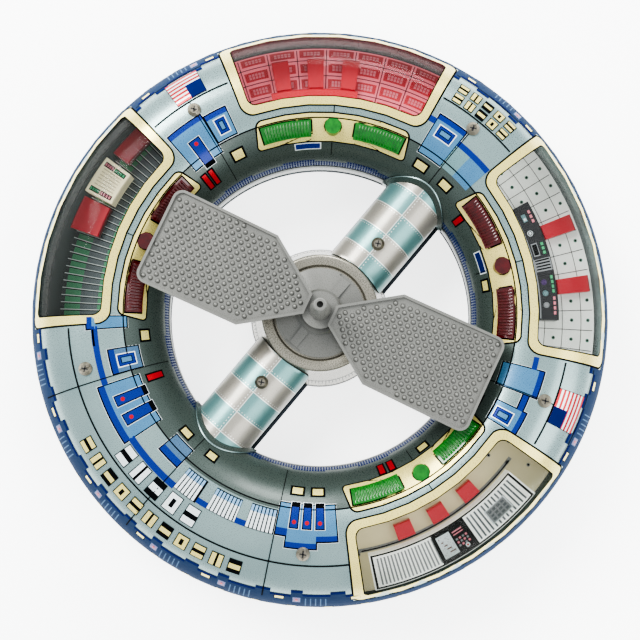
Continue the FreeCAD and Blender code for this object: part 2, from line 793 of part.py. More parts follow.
def make_spoke_cover(node, turn):
    near = hub_radius - 8
    length = inner_centre - near
    arch = arch_slab(node + "_arch", spoke_half, spoke_ridge, spoke_half - tin, near, length)
    margin = tube + skin_gap
    trimmed = cut(cut(arch, ring_envelope(node + "_ring", margin)), hub_envelope(node + "_hub"))
    collar = arch_slab(node + "_collar", spoke_half + saddle_width, spoke_ridge + saddle_width,
                       spoke_half - tin, near, length)
    saddle = common(collar, ring_envelope(node + "_skin", margin + tin, margin))
    hole = cylinder(screw_bore, ring_equator, ring_crest, 0, spoke_screw)
    cover = cut(fuse(trimmed, saddle), hole)
    keep(place(cover, turn=turn), node)


def hub_envelope(label):
    """The room the hub's flared wall takes, with its gap to the spokes."""
    body = new_body(label)
    top = hub_radius + skin_gap
    foot = hub_foot + skin_gap
    revolve(body, [(0, 0), (foot, 0), (foot, hem_level), (top, hub_rim - hub_rim_round),
                   (top, ring_crest), (0, ring_crest)])
    return body


def make_hub():
    shell = new_body("hub_shell")
    wall = hub_radius - tin
    rim = hub_radius - hub_rim_round
    inner_round = hub_rim_round - tin
    corners = [(hub_foot, hem_level), (hub_radius, hub_rim - hub_rim_round), (rim, hub_rim),
               (dish_radius + 1, hub_rim - 0.8), (dish_radius, dish_level), (dish_hole, dish_level),
               (dish_hole, dish_level - tin), (dish_radius + 0.4, dish_level - tin),
               (dish_radius + 1.4, hub_rim - 1.3), (rim, hub_rim - tin),
               (wall, hub_rim - hub_rim_round), (hub_foot - tin, hem_level)]
    arcs = {1: (rim, hub_rim - hub_rim_round, hub_rim_round, 1),
            9: (rim, hub_rim - hub_rim_round, inner_round, -1)}
    revolve(shell, corners, arcs)
    keep(shell, "hub_shell")
    cap = new_body("hub_cap")
    foot = dish_level + rest_gap
    hole = shaft_radius + running_fit
    revolve(cap, [(hole, foot), (cap_radius, foot), (cap_radius, cap_edge),
                  (collar_radius, cap_crown), (collar_radius, cap_top - 1), (collar_radius - 1, cap_top),
                  (hole, cap_top)])
    ribs = [(collar_radius - 1, cap_edge - 1), (cap_radius, cap_edge - 1), (cap_radius, cap_edge + 0.6),
            (collar_radius - 1, cap_crown + 1.6)]
    rib = pad(cap, ribs, 0, cap_rib_half * 2, None, "XZ_Plane", 90, True)
    slot = sketch_on(cap, "XY_Plane", foot + 1.2, 90)
    outline(slot, rectangle(cap_radius - 1.6, cap_radius + 1, -cap_slot_half, cap_slot_half))
    pattern(cap, [rib, pocket_up(cap, slot, 10)], 2)
    keep(cap, "hub_cap")


# ---- gear work ----

def gear(body, teeth, module, level, width, bore_radius):
    """A spur wheel with straight-sided teeth, one tooth pointing along +X."""
    pitch = module * teeth / 2
    foot = pitch - module * 1.2
    tip = pitch + module * 0.85
    half = module * 0.62
    hub = pad_circles(body, [(0, 0, foot + module * 0.05), (0, 0, bore_radius)], level, width)
    tooth = pad(body, [(foot - module, -half * 1.25), (tip, -half * 0.55), (tip, half * 0.55),
                       (foot - module, half * 1.25)], level, width)
    pattern(body, [tooth], teeth)
    return hub


def make_gear_frame():
    """Two round plates held apart by short posts, with the idler's pin between them."""
    under = pan_top + rest_gap
    between = low_plate + plate_thickness + rest_gap
    posts = []
    for heading in (20, 90, 235, 315):
        x, y = polar(frame_post_ring, heading)
        posts.append(cylinder(frame_post_radius, under, low_plate - rest_gap - under, x, y))
        posts.append(cylinder(frame_post_radius, between, high_plate - rest_gap - between, x, y))
    posts.append(cylinder(pin_radius, between, high_plate - rest_gap - between, idler_x, idler_y))
    keep(together(*posts), "gear_posts")
    low = cut(cylinder(plate_radius, low_plate, plate_thickness),
              cylinder(truck_neck + running_fit, low_plate - 1, 4))
    high = cut(cylinder(plate_radius, high_plate, plate_thickness),
               cylinder(shaft_radius + running_fit, high_plate - 1, 4))
    keep(together(low, high), "gear_plates")


def make_motor():
    seat = low_plate + plate_thickness + rest_gap
    can = cut(cylinder(motor_radius, seat, motor_height, -motor_distance),
              cylinder(pin_radius + running_fit, seat + 6, motor_height, -motor_distance))
    keep(can, "motor_can")
    spindle = cylinder(pin_radius, seat + 6.2, first_gear_level + gear_width + 0.6 - seat - 6.2,
                       -motor_distance)
    pinion = new_body("motor_pinion")
    gear(pinion, pinion_teeth, gear_module, first_gear_level, gear_width, pin_radius - push_fit)
    place(pinion, -motor_distance, 0, 0, idler_to_motor + 180 + 180 / pinion_teeth)
    keep(fuse(spindle, pinion), "motor_spindle")


def make_gears():
    main = new_body("main_gear")
    gear(main, main_teeth, gear_module, second_gear_level, gear_width, shaft_radius + push_fit)
    keep(place(main, turn=idler_heading), "main_gear")
    bore_radius = pin_radius + running_fit
    wheel = new_body("idler_wheel")
    gear(wheel, idler_teeth, gear_module, first_gear_level, gear_width, bore_radius)
    place(wheel, idler_x, idler_y, 0, idler_to_motor)
    small = new_body("idler_pinion")
    gear(small, pinion_teeth, gear_module, first_gear_level + gear_width,
         second_gear_level - first_gear_level, bore_radius)
    place(small, idler_x, idler_y, 0, idler_heading + 180 + 180 / pinion_teeth)
    keep(fuse(wheel, small), "idler_gear")


# ---- truck ----

def make_truck():
    neck_top = low_plate + plate_thickness + 0.4
    plate = fuse(cylinder(truck_radius, truck_plate, 1.2),
                 cylinder(truck_neck, truck_plate, neck_top - truck_plate),
                 cylinder(truck_neck + 1.2, neck_top, 0.8))
    cheeks = []
    for side in (-1, 1):
        cheek = box(side * cheek_distance - 0.6, -5, wheel_radius - 3, 1.2, 10,
                    truck_plate - wheel_radius + 3.5)
        cheeks.append(cheek)
    frame = cut(fuse(plate, *cheeks), fuse(
        cylinder(shaft_radius + running_fit, truck_plate - 1, 8),
        lying_rod(shaft_radius + running_fit, -cheek_distance - 2, 0, wheel_radius,
                  cheek_distance * 2 + 4)))
    keep(frame, "truck_frame")
    axle_half = wheel_distance + wheel_width / 2
    keep(lying_rod(shaft_radius, -axle_half, 0, wheel_radius, axle_half * 2), "drive_axle")
    wheels = []
    tyres = []
    rim = wheel_radius - tyre_thickness
    for side in (-1, 1):
        low = side * wheel_distance - wheel_width / 2
        disc = lying_rod(rim - rest_gap, low, 0, wheel_radius, wheel_width)
        wheels.append(cut(disc, lying_rod(shaft_radius + push_fit, low - 1, 0, wheel_radius,
                                          wheel_width + 2)))
        tread = lying_rod(wheel_radius, low, 0, wheel_radius, wheel_width)
        tyres.append(cut(tread, lying_rod(rim, low - 1, 0, wheel_radius, wheel_width + 2)))
    keep(together(*wheels), "drive_wheels")
    keep(together(*tyres), "drive_tyres")
    crown = new_body("crown_gear")
    pinion_tip = crown_module * (truck_teeth / 2 + 0.85)
    face = pinion_tip + mesh_gap
    pad_circles(crown, [(0, 0, crown_module * 12), (0, 0, shaft_radius + push_fit)], -2.6, 1.2)
    tooth = pad(crown, [(crown_module * 8, -0.35), (crown_module * 12, -0.45),
                        (crown_module * 12, 0.45), (crown_module * 8, 0.35)], -1.4, 1.4)
    pattern(crown, [tooth], crown_teeth)
    keep(place(crown, face, 0, wheel_radius, -90, (0, 1, 0)), "crown_gear")
    pinion = new_body("truck_pinion")
    gear(pinion, truck_teeth, crown_module, wheel_radius + crown_module * 8, crown_module * 4.4,
         shaft_radius + push_fit)
    keep(place(pinion, turn=20), "truck_pinion")


def make_casters():
    for index, heading in enumerate(caster_headings):
        x, y = polar(caster_ring, heading)
        plate_level = pan_floor - 1.4
        wheel_x = -caster_trail
        half = caster_width / 2
        plate = box(wheel_x - 2, -(half + 1.2), plate_level, caster_trail + 4, half * 2 + 2.4, 0.8)
        pin = cylinder(caster_pin, plate_level, caster_bearing + 0.3 - plate_level)
        cap = cylinder(caster_pin + 1, caster_bearing + 0.3, 0.8)
        cheeks = [box(wheel_x - 1.4, side * (half + 0.7) - 0.4, caster_wheel - 1.4, 2.8, 0.8,
                      plate_level - caster_wheel + 1.8) for side in (-1, 1)]
        hole = doc.addObject("Part::Cylinder", "rod")
        set_size(hole, "Radius", 0.8 + running_fit)
        hole.Height = 12
        place(hole, wheel_x, 6, caster_wheel, 90, (1, 0, 0))
        fork = cut(fuse(plate, pin, cap, *cheeks), hole)
        keep(place(fork, x, y, 0, heading), "caster_fork_%d" % (index + 1))
        wheel = new_body("caster_wheel_%d" % (index + 1))
        pad_circles(wheel, [(0, 0, caster_wheel)], 0, caster_width, "XY_Plane", True)
        pad_circles(wheel, [(0, 0, 0.8)], 0, caster_width + 3, "XY_Plane", True)
        away = polar(caster_ring - caster_trail, heading)
        standing = FreeCAD.Rotation(Vector(0, 0, 1), heading) * FreeCAD.Rotation(Vector(1, 0, 0), 90)
        wheel.Placement = FreeCAD.Placement(
            Vector(number(away[0]), number(away[1]), number(caster_wheel)), standing)
        wheel.setExpression("Placement.Base.x", formula_of(away[0]))
        wheel.setExpression("Placement.Base.y", formula_of(away[1]))
        wheel.setExpression("Placement.Base.z", formula_of(caster_wheel))
        keep(wheel, "caster_wheel_%d" % (index + 1))


# ---- batteries, door and switch ----

def make_batteries():
    line = -cell_line
    height = cell_bottom + cell_radius
    nub = 1.2
    body_length = cell_length - nub
    for index, start in enumerate((-(cell_length + 0.3), 0.3)):
        cell = fuse(lying_rod(cell_radius, start, line, height, body_length),
                    lying_rod(3, start + body_length - 0.1, line, height, nub + 0.1))
        keep(cell, "battery_%d" % (index + 1))
    inner_half = cell_length + 2.4
    inner_width = cell_radius + box_clear
    roof = height + inner_width
    foot = pan_top + rest_gap
    outside = box(-(inner_half + box_wall), line - inner_width - box_wall, foot,
                  (inner_half + box_wall) * 2, (inner_width + box_wall) * 2, roof + box_wall - foot)
    inside = box(-inner_half, line - inner_width, foot - 1, inner_half * 2, inner_width * 2,
                 roof - foot + 1)
    keep(cut(outside, inside), "battery_box")
    ends = []
    for side, start in ((-1, -inner_half + 0.1), (1, inner_half - 0.5)):
        ends.append(box(start, line - 6, height - 6, 0.4, 12, 12))
    spring = doc.addObject("Part::Cone", "spring")
    set_size(spring, "Radius1", 5)
    set_size(spring, "Radius2", 3)
    set_size(spring, "Height", inner_half - 0.55 - cell_length - 0.3)
    place(spring, -inner_half + 0.45, line, height, 90, (0, 1, 0))
    keep(together(fuse(ends[0], spring), ends[1]), "battery_contacts")


def make_door():
    far = -(cell_line + door_width / 2) + 0.4
    near = hinge_line - hinge_radius - 0.5
    plate = box(-door_half + 0.4, far, pan_floor, door_half * 2 - 0.8, near - far, 0.8)
    half = ear_distance - 3.5
    knuckle = lying_rod(hinge_radius, -half, hinge_line, hinge_height, half * 2)
    web = box(-half, near - 0.2, hinge_height - 0.1, half * 2, hinge_line - near + 0.2, 0.9)
    lug = box(-12, far + 3, pan_floor - 1, 24, 2, 1.1)
    pin = lying_rod(hinge_pin_radius, -ear_distance - 1.5, hinge_line, hinge_height,
                    ear_distance * 2 + 3)
    keep(fuse(plate, knuckle, web, lug, pin), "battery_door")


def make_switch():
    inner_x = switch_travel / 2 + 5.4
    outside = box(-inner_x - 0.8, switch_distance - 6, pan_top + rest_gap, inner_x * 2 + 1.6, 12, 6)
    inside = box(-inner_x, switch_distance - 5.2, pan_top - 0.5, inner_x * 2, 10.4, 5.5)
    keep(cut(outside, inside), "switch_case")
    left = -switch_travel / 2
    knob = fuse(box(left - 3, switch_distance - 3.4, pan_floor - 2.6, 6, 6.8, 2.4),
                box(left - 2, switch_distance - 1.5, pan_floor - 0.4, 4, 3, 1.4),
                box(left - 5, switch_distance - 4.5, pan_top + 0.2, 10, 9, 1.2))
    keep(knob, "switch_knob")


# ---- rotor ----

def make_rotor():
    post = new_body("mast")
    hole = shaft_radius + push_fit
    depth = rotor_shoulder - 1.6
    revolve(post, [(hole, rotor_bottom), (rotor_radius - 0.8, rotor_bottom),
                   (rotor_radius, rotor_bottom + 0.8), (rotor_radius, rotor_shoulder),
                   (mast_base, rotor_shoulder), (mast_base, rotor_shoulder + 4),
                   (mast_tip, mast_top - 0.5), (mast_tip - 0.5, mast_top), (mast_socket, mast_top),
                   (mast_socket, mast_top - mast_socket_depth), (0, mast_top - mast_socket_depth),
                   (0, depth), (hole, depth)])
    pegs = []
    for side in (1, -1):
        x, y = polar(paddle_peg * side, paddle_heading)
        pegs.append((x, y, peg_radius + push_fit))
    post.Tip = bore(post, pegs, rotor_shoulder - 3, 5)
    keep(post, "mast")
    keep(cylinder(shaft_radius, wheel_radius + crown_module * 8 - 0.4,
                  depth - 0.1 - wheel_radius - crown_module * 8 + 0.4), "rotor_shaft")
    make_paddle("paddle_left", paddle_heading)
    make_paddle("paddle_right", paddle_heading - 180)


def paddle_outline(inset=0):
    """The six-sided paddle with round far corners, drawn in by inset on all sides."""
    near = paddle_near + inset
    near_half = paddle_near_half - inset * 0.5
    shoulder = paddle_shoulder + inset * 0.3
    shoulder_half = paddle_shoulder_half - inset
    far = paddle_far - inset
    far_half = paddle_far_half - inset
    bend = paddle_corner - inset
    corners = [(near, -near_half), (shoulder, -shoulder_half), (far - bend, -far_half),
               (far, -far_half + bend), (far, far_half - bend), (far - bend, far_half),
               (shoulder, shoulder_half), (near, near_half)]
    arcs = {2: (far - bend, -far_half + bend, bend, 1), 4: (far - bend, far_half - bend, bend, 1)}
    return corners, arcs


def make_paddle(node, heading):
    body = new_body(node)
    seat = rotor_shoulder + rest_gap
    corners, arcs = paddle_outline()
    pad(body, corners, seat, paddle_thickness + paddle_rim_height, arcs)
    tray = sketch_on(body, "XY_Plane", seat + paddle_thickness)
    outline(tray, *paddle_outline(paddle_rim))
    pocket_up(body, tray, paddle_rim_height + 1)
    pad_circles(body, [(paddle_peg, 0, peg_radius)], rotor_shoulder - 2.8, paddle_thickness + 2.9)
    keep(place(body, turn=heading), node)


# ---- wiring ----

def make_wires():
    level = pan_top + 1
    thickness = 0.6
    bend = pan_hub - 3.1
    first = wire_run([(6, box_front), (6, -bend - 5.8), (2, -bend)], level, thickness)
    loop = doc.addObject("Part::Torus", "lamp_wire")
    set_size(loop, "Radius1", dot_ring - 6)
    set_size(loop, "Radius2", thickness)
    place(loop, 0, 0, level + 4)
    half_loop = doc.addObject("Part::Torus", "hub_wire")
    set_size(half_loop, "Radius1", bend)
    set_size(half_loop, "Radius2", thickness)
    half_loop.Angle3 = 180
    place(half_loop, 0, 0, level, -90)
    second = wire_run([(2, bend), (6, bend + 5.8), (6, switch_distance - 6.5)], level, thickness)
    keep(together(first, half_loop, second, loop), "wires")


def wire_run(corners, level, thickness):
    """A wire lying level, bent at each corner."""
    points = [Vector(number(x), number(y), number(level)) for x, y in corners]
    path = doc.addObject("Part::Feature", "wire_path")
    path.Shape = Part.makePolygon(points)
    ring = doc.addObject("Part::Feature", "wire_end")
    ring.Shape = Part.Wire(Part.makeCircle(thickness, points[0], points[1] - points[0]))
    sweep = doc.addObject("Part::Sweep", "wire_run")
    sweep.Sections = [ring]
    sweep.Spine = (path, ["Edge%d" % (index + 1) for index in range(len(points) - 1)])
    sweep.Solid = True
    sweep.Transition = "Right corner"
    return sweep


idler_to_main = gear_module * (main_teeth + pinion_teeth) / 2
idler_reach = gear_module * (idler_teeth + pinion_teeth) / 2
motor_radius = idler_reach - pin_radius - motor_pin_gap
idler_angle_share = ((idler_to_main * idler_to_main + motor_distance * motor_distance
                      - idler_reach * idler_reach) / (idler_to_main * motor_distance * 2))
idler_heading = 180 - arc_cosine(idler_angle_share)
idler_x, idler_y = polar(idler_to_main, idler_heading)
back_share = ((idler_reach * idler_reach + motor_distance * motor_distance
               - idler_to_main * idler_to_main) / (idler_reach * motor_distance * 2))
idler_to_motor = 180 + arc_cosine(back_share)
hinge_line = -(cell_line - door_width / 2) + 0.8
hinge_height = pan_floor - 0.8
box_front = cell_radius + box_clear + box_wall + 1.4 - cell_line

make_ring_shell()
for room, heading in room_headings.items():
    make_window(room, heading)
    make_liner(room, heading)
    make_lens(room, heading)
make_furniture()
make_lamps()
make_base_pan()
make_posts_and_screws()
make_spoke_cover("spoke_cover_front", 180)
make_spoke_cover("spoke_cover_rear", 0)
make_hub()
make_gear_frame()
make_motor()
make_gears()
make_truck()
make_casters()
make_batteries()
make_door()
make_switch()
make_rotor()
make_wires()

doc.recompute()
os.makedirs("parts", exist_ok=True)
for feature in doc.Objects:
    if "Invalid" in feature.State or "Error" in feature.State:
        raise RuntimeError(feature.Label + " did not compute")
for feature in nodes:
    if feature.Shape.isNull() or not feature.Shape.isValid():
        raise RuntimeError(feature.Label + " has no valid shape")
for feature in nodes:
    feature.Shape.exportStep("parts/" + feature.Label + ".step")
    print(feature.Label, len(feature.Shape.Solids), round(feature.Shape.Volume, 1))
print(len(nodes), "nodes")
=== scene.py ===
import bpy
import json
import math
import numpy as np
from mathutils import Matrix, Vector


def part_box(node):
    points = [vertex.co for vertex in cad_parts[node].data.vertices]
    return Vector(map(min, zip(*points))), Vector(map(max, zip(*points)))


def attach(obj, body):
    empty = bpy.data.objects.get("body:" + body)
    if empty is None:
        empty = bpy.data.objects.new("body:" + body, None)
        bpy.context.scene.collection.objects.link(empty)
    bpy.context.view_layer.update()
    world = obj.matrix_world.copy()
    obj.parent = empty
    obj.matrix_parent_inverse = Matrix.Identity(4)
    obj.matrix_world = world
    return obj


# Battery toy space station: printed tin ring, four lit rooms, hub and turning antenna.
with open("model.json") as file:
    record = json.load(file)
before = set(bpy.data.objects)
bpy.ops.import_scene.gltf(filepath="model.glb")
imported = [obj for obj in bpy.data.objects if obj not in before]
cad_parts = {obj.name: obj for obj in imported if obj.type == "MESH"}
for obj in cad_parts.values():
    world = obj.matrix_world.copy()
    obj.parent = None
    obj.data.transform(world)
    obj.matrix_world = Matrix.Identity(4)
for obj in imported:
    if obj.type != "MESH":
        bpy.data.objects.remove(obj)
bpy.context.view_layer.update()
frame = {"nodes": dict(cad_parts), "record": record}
record = frame["record"]
slotOf = {entry["node"]: entry["material_slot"] for entry in record["subparts"]}
mm = 0.001


# ---- materials ----

def linearColour(hexText):
    # sRGB hex to linear, piecewise curve of the sRGB standard
    values = [int(hexText[i:i + 2], 16) / 255 for i in (1, 3, 5)]
    straight = [v / 12.92 if v <= 0.04045 else ((v + 0.055) / 1.055) ** 2.4 for v in values]
    return (*straight, 1.0)


def addNode(tree, kind, settings=None, links=None):
    # settings: attributes or sockets by name; links: input socket -> (node, output)
    made = tree.nodes.new(kind)
    for name, value in (settings or {}).items():
        if isinstance(name, str) and hasattr(made, name) and name not in made.inputs:
            setattr(made, name, value)
        else:
            made.inputs[name].default_value = value
    for name, (source, output) in (links or {}).items():
        tree.links.new(source.outputs[output], made.inputs[name])
    return made


def newTree(name):
    material = bpy.data.materials.new(name)
    material.use_nodes = True
    tree = material.node_tree
    tree.nodes.clear()
    return material, tree


def finishTree(tree, shader):
    addNode(tree, "ShaderNodeOutputMaterial", None, {"Surface": (shader, 0)})


def surfaceMaterial(name, colour, metallic=0.0, roughness=0.4, shade="", patchMm=12.0, shadeMix=0.25,
                    grainMm=0.4, grainHeight=0.01, coat=0.0, extra=None):
    # Base colour drifts towards a second one in soft patches; fine grain gives bump and roughness
    material, tree = newTree(name)
    place = addNode(tree, "ShaderNodeTexCoord")
    patches = addNode(tree, "ShaderNodeTexNoise", {"Scale": 1000 / patchMm, "Detail": 3.0},
                      {"Vector": (place, "Object")})
    spread = addNode(tree, "ShaderNodeMapRange", {"From Min": 0.35, "From Max": 0.7, "To Min": 0.0,
                                                  "To Max": shadeMix}, {"Value": (patches, 0)})
    mixed = addNode(tree, "ShaderNodeMix", {"data_type": "RGBA"})
    mixed.inputs[6].default_value = linearColour(colour)
    mixed.inputs[7].default_value = linearColour(shade or colour)
    tree.links.new(spread.outputs[0], mixed.inputs[0])
    grain = addNode(tree, "ShaderNodeTexNoise", {"Scale": 1000 / grainMm, "Detail": 2.0},
                    {"Vector": (place, "Object")})
    rough = addNode(tree, "ShaderNodeMapRange", {"From Min": 0.3, "From Max": 0.7,
                                                 "To Min": max(roughness - 0.06, 0.02),
                                                 "To Max": roughness + 0.06}, {"Value": (grain, 0)})
    bump = addNode(tree, "ShaderNodeBump", {"Strength": 0.12, "Distance": grainHeight * mm},
                   {"Height": (grain, 0)})
    settings = {"Metallic": metallic, "Coat Weight": coat, "Coat Roughness": 0.12}
    settings.update(extra or {})
    shader = addNode(tree, "ShaderNodeBsdfPrincipled", settings,
                     {"Base Color": (mixed, 2), "Roughness": (rough, 0), "Normal": (bump, 0)})
    finishTree(tree, shader)
    return material


def ink(name, colour, shade="", metallic=0.35, roughness=0.3, mix=0.3, patch=6.0, coat=0.2, paintedGlow=0.0,
        gloss=0.5):
    # Lithographed ink over tin: the metal glints a little through a varnished colour. paintedGlow is painted
    # light: emission in the ink's own colour that brightens room prints and consoles, with no lamp behind
    # them
    return surfaceMaterial(name, colour, metallic, roughness, shade, patch, mix, 0.5, 0.004, coat,
                           {"Emission Color": linearColour(colour), "Emission Strength": paintedGlow,
                            "Specular IOR Level": gloss})


def clearSheet(name, colour, low, high, roughness):
    # Clear formed plastic: nearly see-through face on, more reflective at a glance
    material, tree = newTree(name)
    facing = addNode(tree, "ShaderNodeLayerWeight", {"Blend": 0.3})
    steep = addNode(tree, "ShaderNodeMath", {"operation": "POWER", 1: 2.2}, {0: (facing, 1)})
    cover = addNode(tree, "ShaderNodeMapRange", {"To Min": low, "To Max": high}, {"Value": (steep, 0)})
    shader = addNode(tree, "ShaderNodeBsdfPrincipled",
                     {"Base Color": linearColour(colour), "Roughness": roughness, "IOR": 1.49,
                      "Specular IOR Level": 0.8, "Coat Weight": 1.0, "Coat Roughness": 0.03},
                     {"Alpha": (cover, 0)})
    finishTree(tree, shader)
    return material


def lensPlastic(name, colour, paintedGlow):
    # Tinted clear polystyrene with a faint painted glow: emission in the brighter second tone, though no lamp
    # lights it
    return surfaceMaterial(name, colour, 0.0, 0.14, paintedGlow, 2.5, 0.5, 0.6, 0.003, 0.25,
                           {"Transmission Weight": 0.1, "IOR": 1.59, "Emission Color": linearColour(paintedGlow),
                            "Emission Strength": 0.07, "Specular IOR Level": 0.5})


# printed colours: main tone and the second tone it drifts to
tones = {
    "tinInner": ("#4a5550", "#3f4a45"), "tinBand": ("#2e405c", "#263651"), "ribBlue": ("#5d7796", "#4d6785"),
    "paleBlue": ("#4f7ea0", "#3f6a8c"), "softBlue": ("#4c6c88", "#40607e"), "blue": ("#0a2b80", "#08246e"),
    "navy": ("#13235c", "#0f1b4a"), "navyDull": ("#33465f", "#2b3b52"), "black": ("#0c0e10", "#14171a"),
    "white": ("#dfe6e6", "#c8d4d8"), "cream": ("#dccf84", "#cfc072"), "red": ("#b80f1b", "#9a0f1a"),
    "hazeBlue": ("#86accb", "#7299bd"),
    "teal": ("#6f9092", "#5f8285"), "violet": ("#553a6e", "#463059"),
}
dullTones = ("tinBand", "navy", "black", "ribBlue")


def printInk(name):
    # The darkest inks are laid matt, the rest under varnish
    title = name[0].upper() + name[1:]
    if name in dullTones:
        return ink("dull" + title, *tones[name], metallic=0.0, roughness=0.6, coat=0.0, gloss=0.03)
    return ink("litho" + title, *tones[name])


inks = {name: printInk(name) for name in tones}

finishes = {
    "litho_tin": surfaceMaterial("lithoTinplate", "#8b9f9d", 0.6, 0.3, "#768b8c", 30, 0.5, 0.6, 0.004, 0.3),
    "hub_tin": surfaceMaterial("creamTinplate", "#9b978a", 0.7, 0.28, "#87847a", 14, 0.5, 0.6, 0.004, 0.3),
    "base_tin": surfaceMaterial("darkPaintedTin", "#39434b", 0.35, 0.42, "#2c353d", 20, 0.5, 0.5, 0.01, 0.2),
    "grey_plastic": surfaceMaterial("greyPolystyrene", "#7d7d78", 0.3, 0.3, "#6e6e6a", 18, 0.4, 0.35, 0.012),
    "clear_plastic": clearSheet("clearAcetate", "#a7a9a3", 0.02, 0.4, 0.05),
    # paintedGlow on the room prints and on the cream and silver console prints below is painted light:
    # emission that brightens them though no lamp lights them
    "liner_red_room": ink("redRoomPrint", "#dc7681", "#d06672", 0.1, 0.45, paintedGlow=0.25),
    "liner_green_room": ink("greenRoomPrint", "#2f3b38", "#26312e", 0.1, 0.45),
    "liner_grey_room": ink("greyRoomPrint", "#c6c8c2", "#b0b2ac", 0.0, 0.45, paintedGlow=0.4),
    "liner_cream_room": ink("creamRoomPrint", "#bfb795", "#b0a886", 0.1, 0.45, paintedGlow=0.2),
    "green_lens": lensPlastic("greenLensStyrene", "#0b5a12", "#1d8a24"),
    "red_lens": lensPlastic("redLensStyrene", "#3c0306", "#640a0f"),
    "red_tin": ink("redEnamelTin", "#cf2a36", "#b81f2c", 0.2, 0.35),
    "cream_tin": ink("creamConsolePrint", "#e2d9b4", "#d5caa0", 0.2, 0.35, paintedGlow=0.25),
    "black_tin": ink("blackConsolePrint", "#1c1d20", "#26282c", 0.2, 0.35),
    "silver_tin": ink("silverConsolePrint", "#dfe1dc", "#cfd2ce", 0.2, 0.3, paintedGlow=0.35),
    "bulb_glass": clearSheet("bulbGlass", "#fff6d8", 0.15, 0.6, 0.04),
    "brass": surfaceMaterial("plainBrass", "#c8a35a", 1.0, 0.3, "#b08d48", 5, 0.4),
    "steel": surfaceMaterial("zincPlatedSteel", "#8f8a7e", 1.0, 0.36, "#76715f", 6, 0.5, 0.5, 0.01),
    "battery_box": surfaceMaterial("blackMouldedPlastic", "#1e1f21", 0.0, 0.5, "#27282a", 10, 0.4),
    "cell": surfaceMaterial("cellJacket", "#2c3a6a", 0.4, 0.35, "#c0992f", 30, 0.4),
    "wire": surfaceMaterial("wireInsulation", "#8d1f18", 0.0, 0.5, "#741710", 5, 0.4),
    "black_plastic": surfaceMaterial("blackSwitchPlastic", "#17181a", 0.0, 0.4, "#222326", 6, 0.4),
    "red_plastic": surfaceMaterial("redMouldedPlastic", "#b3231c", 0.0, 0.32, "#9c1b16", 8, 0.4),
    "gear_plastic": surfaceMaterial("naturalNylon", "#dcd9cb", 0.0, 0.45, "#cbc8b8", 8, 0.4),
    "rubber": surfaceMaterial("blackRubber", "#1d1d1d", 0.0, 0.75, "#2a2a2a", 5, 0.5, 0.3, 0.03),
}
for nodeName, cadObject in frame["nodes"].items():
    finish = finishes[slotOf[nodeName]]
    cadObject.data.materials.clear()
    cadObject.data.materials.append(finish)
    weld = cadObject.modifiers.new("weld", "WELD")
    weld.merge_threshold = 0.00001
    creases = cadObject.modifiers.new("creases", "EDGE_SPLIT")
    creases.split_angle = math.radians(34)
    cadObject.data.polygons.foreach_set("use_smooth", np.ones(len(cadObject.data.polygons), bool))
print("materials ready")


# ---- meshes ----

def makePiece(name, vertices, faces, material, body, slot, smooth=True):
    # vertices in millimetres, faces as an array of quads or a list of polygons
    mesh = bpy.data.meshes.new(name)
    mesh.from_pydata((np.asarray(vertices, float) * mm).tolist(), [], [list(f) for f in faces])
    mesh.materials.append(material)
    mesh.polygons.foreach_set("use_smooth", np.full(len(mesh.polygons), smooth))
    mesh.update()
    piece = bpy.data.objects.new(name, mesh)
    bpy.context.collection.objects.link(piece)
    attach(piece, body)
    return piece


def gridQuads(rows, columns, closed=False):
    # Quads of a grid of points stored row by row; closed joins the last column to the first
    r, c = np.meshgrid(np.arange(rows - 1), np.arange(columns if closed else columns - 1), indexing="ij")
    after = (c + 1) % columns
    corners = (r * columns + c, (r + 1) * columns + c, (r + 1) * columns + after, r * columns + after)
    return np.stack([k.ravel() for k in corners], 1)


shellLow, shellHigh = (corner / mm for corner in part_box("ring_shell"))
ring = {"outer": shellHigh.x, "inner": 76.0, "crest": shellHigh.z, "hem": shellLow.z, "crestFlat": 5.0,
        "hemTuck": 2.5}
tube = (ring["outer"] - ring["inner"] - ring["crestFlat"]) / 2
ring["equator"] = ring["crest"] - tube
ring["hemDrop"] = ring["equator"] - ring["hem"]
quarter = tube * math.pi / 2
flat = ring["crestFlat"]


def onRing(along, lift):
    # A point of the ring skin: along runs from the outer equator over a quarter circle, a flat crest and
    # a second quarter circle to the inner equator; past either equator it follows the slanting walls
    along = np.asarray(along, float)
    turn = np.where(along < quarter, along / tube,
                    np.where(along < quarter + flat, math.pi / 2, (along - flat) / tube))
    centre = np.where(along < quarter, ring["outer"] - tube,
                      np.where(along < quarter + flat, ring["outer"] - tube - (along - quarter),
                               ring["inner"] + tube))
    radius = centre + (tube + lift) * np.cos(turn)
    height = ring["equator"] + (tube + lift) * np.sin(turn)
    below = along < 0
    radius = np.where(below, ring["outer"] + lift + along * ring["hemTuck"] / ring["hemDrop"], radius)
    height = np.where(below, ring["equator"] + along, height)
    past = along - 2 * quarter - flat
    radius = np.where(past > 0, ring["inner"] - lift + past * ring["hemTuck"] / ring["hemDrop"], radius)
    height = np.where(past > 0, ring["equator"] - past, height)
    return radius, height


def roundRing(angle, radius, height):
    heading = np.radians(angle)
    return np.stack([radius * np.cos(heading), radius * np.sin(heading), height + 0 * radius], -1)


def ringPatch(angle, along, lift):
    return roundRing(angle, *onRing(along, lift))


def floorPatch(angle, radius, lift):
    # A flat ring at height lift
    return roundRing(angle, np.asarray(radius, float), lift)


prints = {}


def lay(tone, points, faces, group="ring"):
    prints.setdefault((group, tone), []).append((points.reshape(-1, 3), np.asarray(faces)))


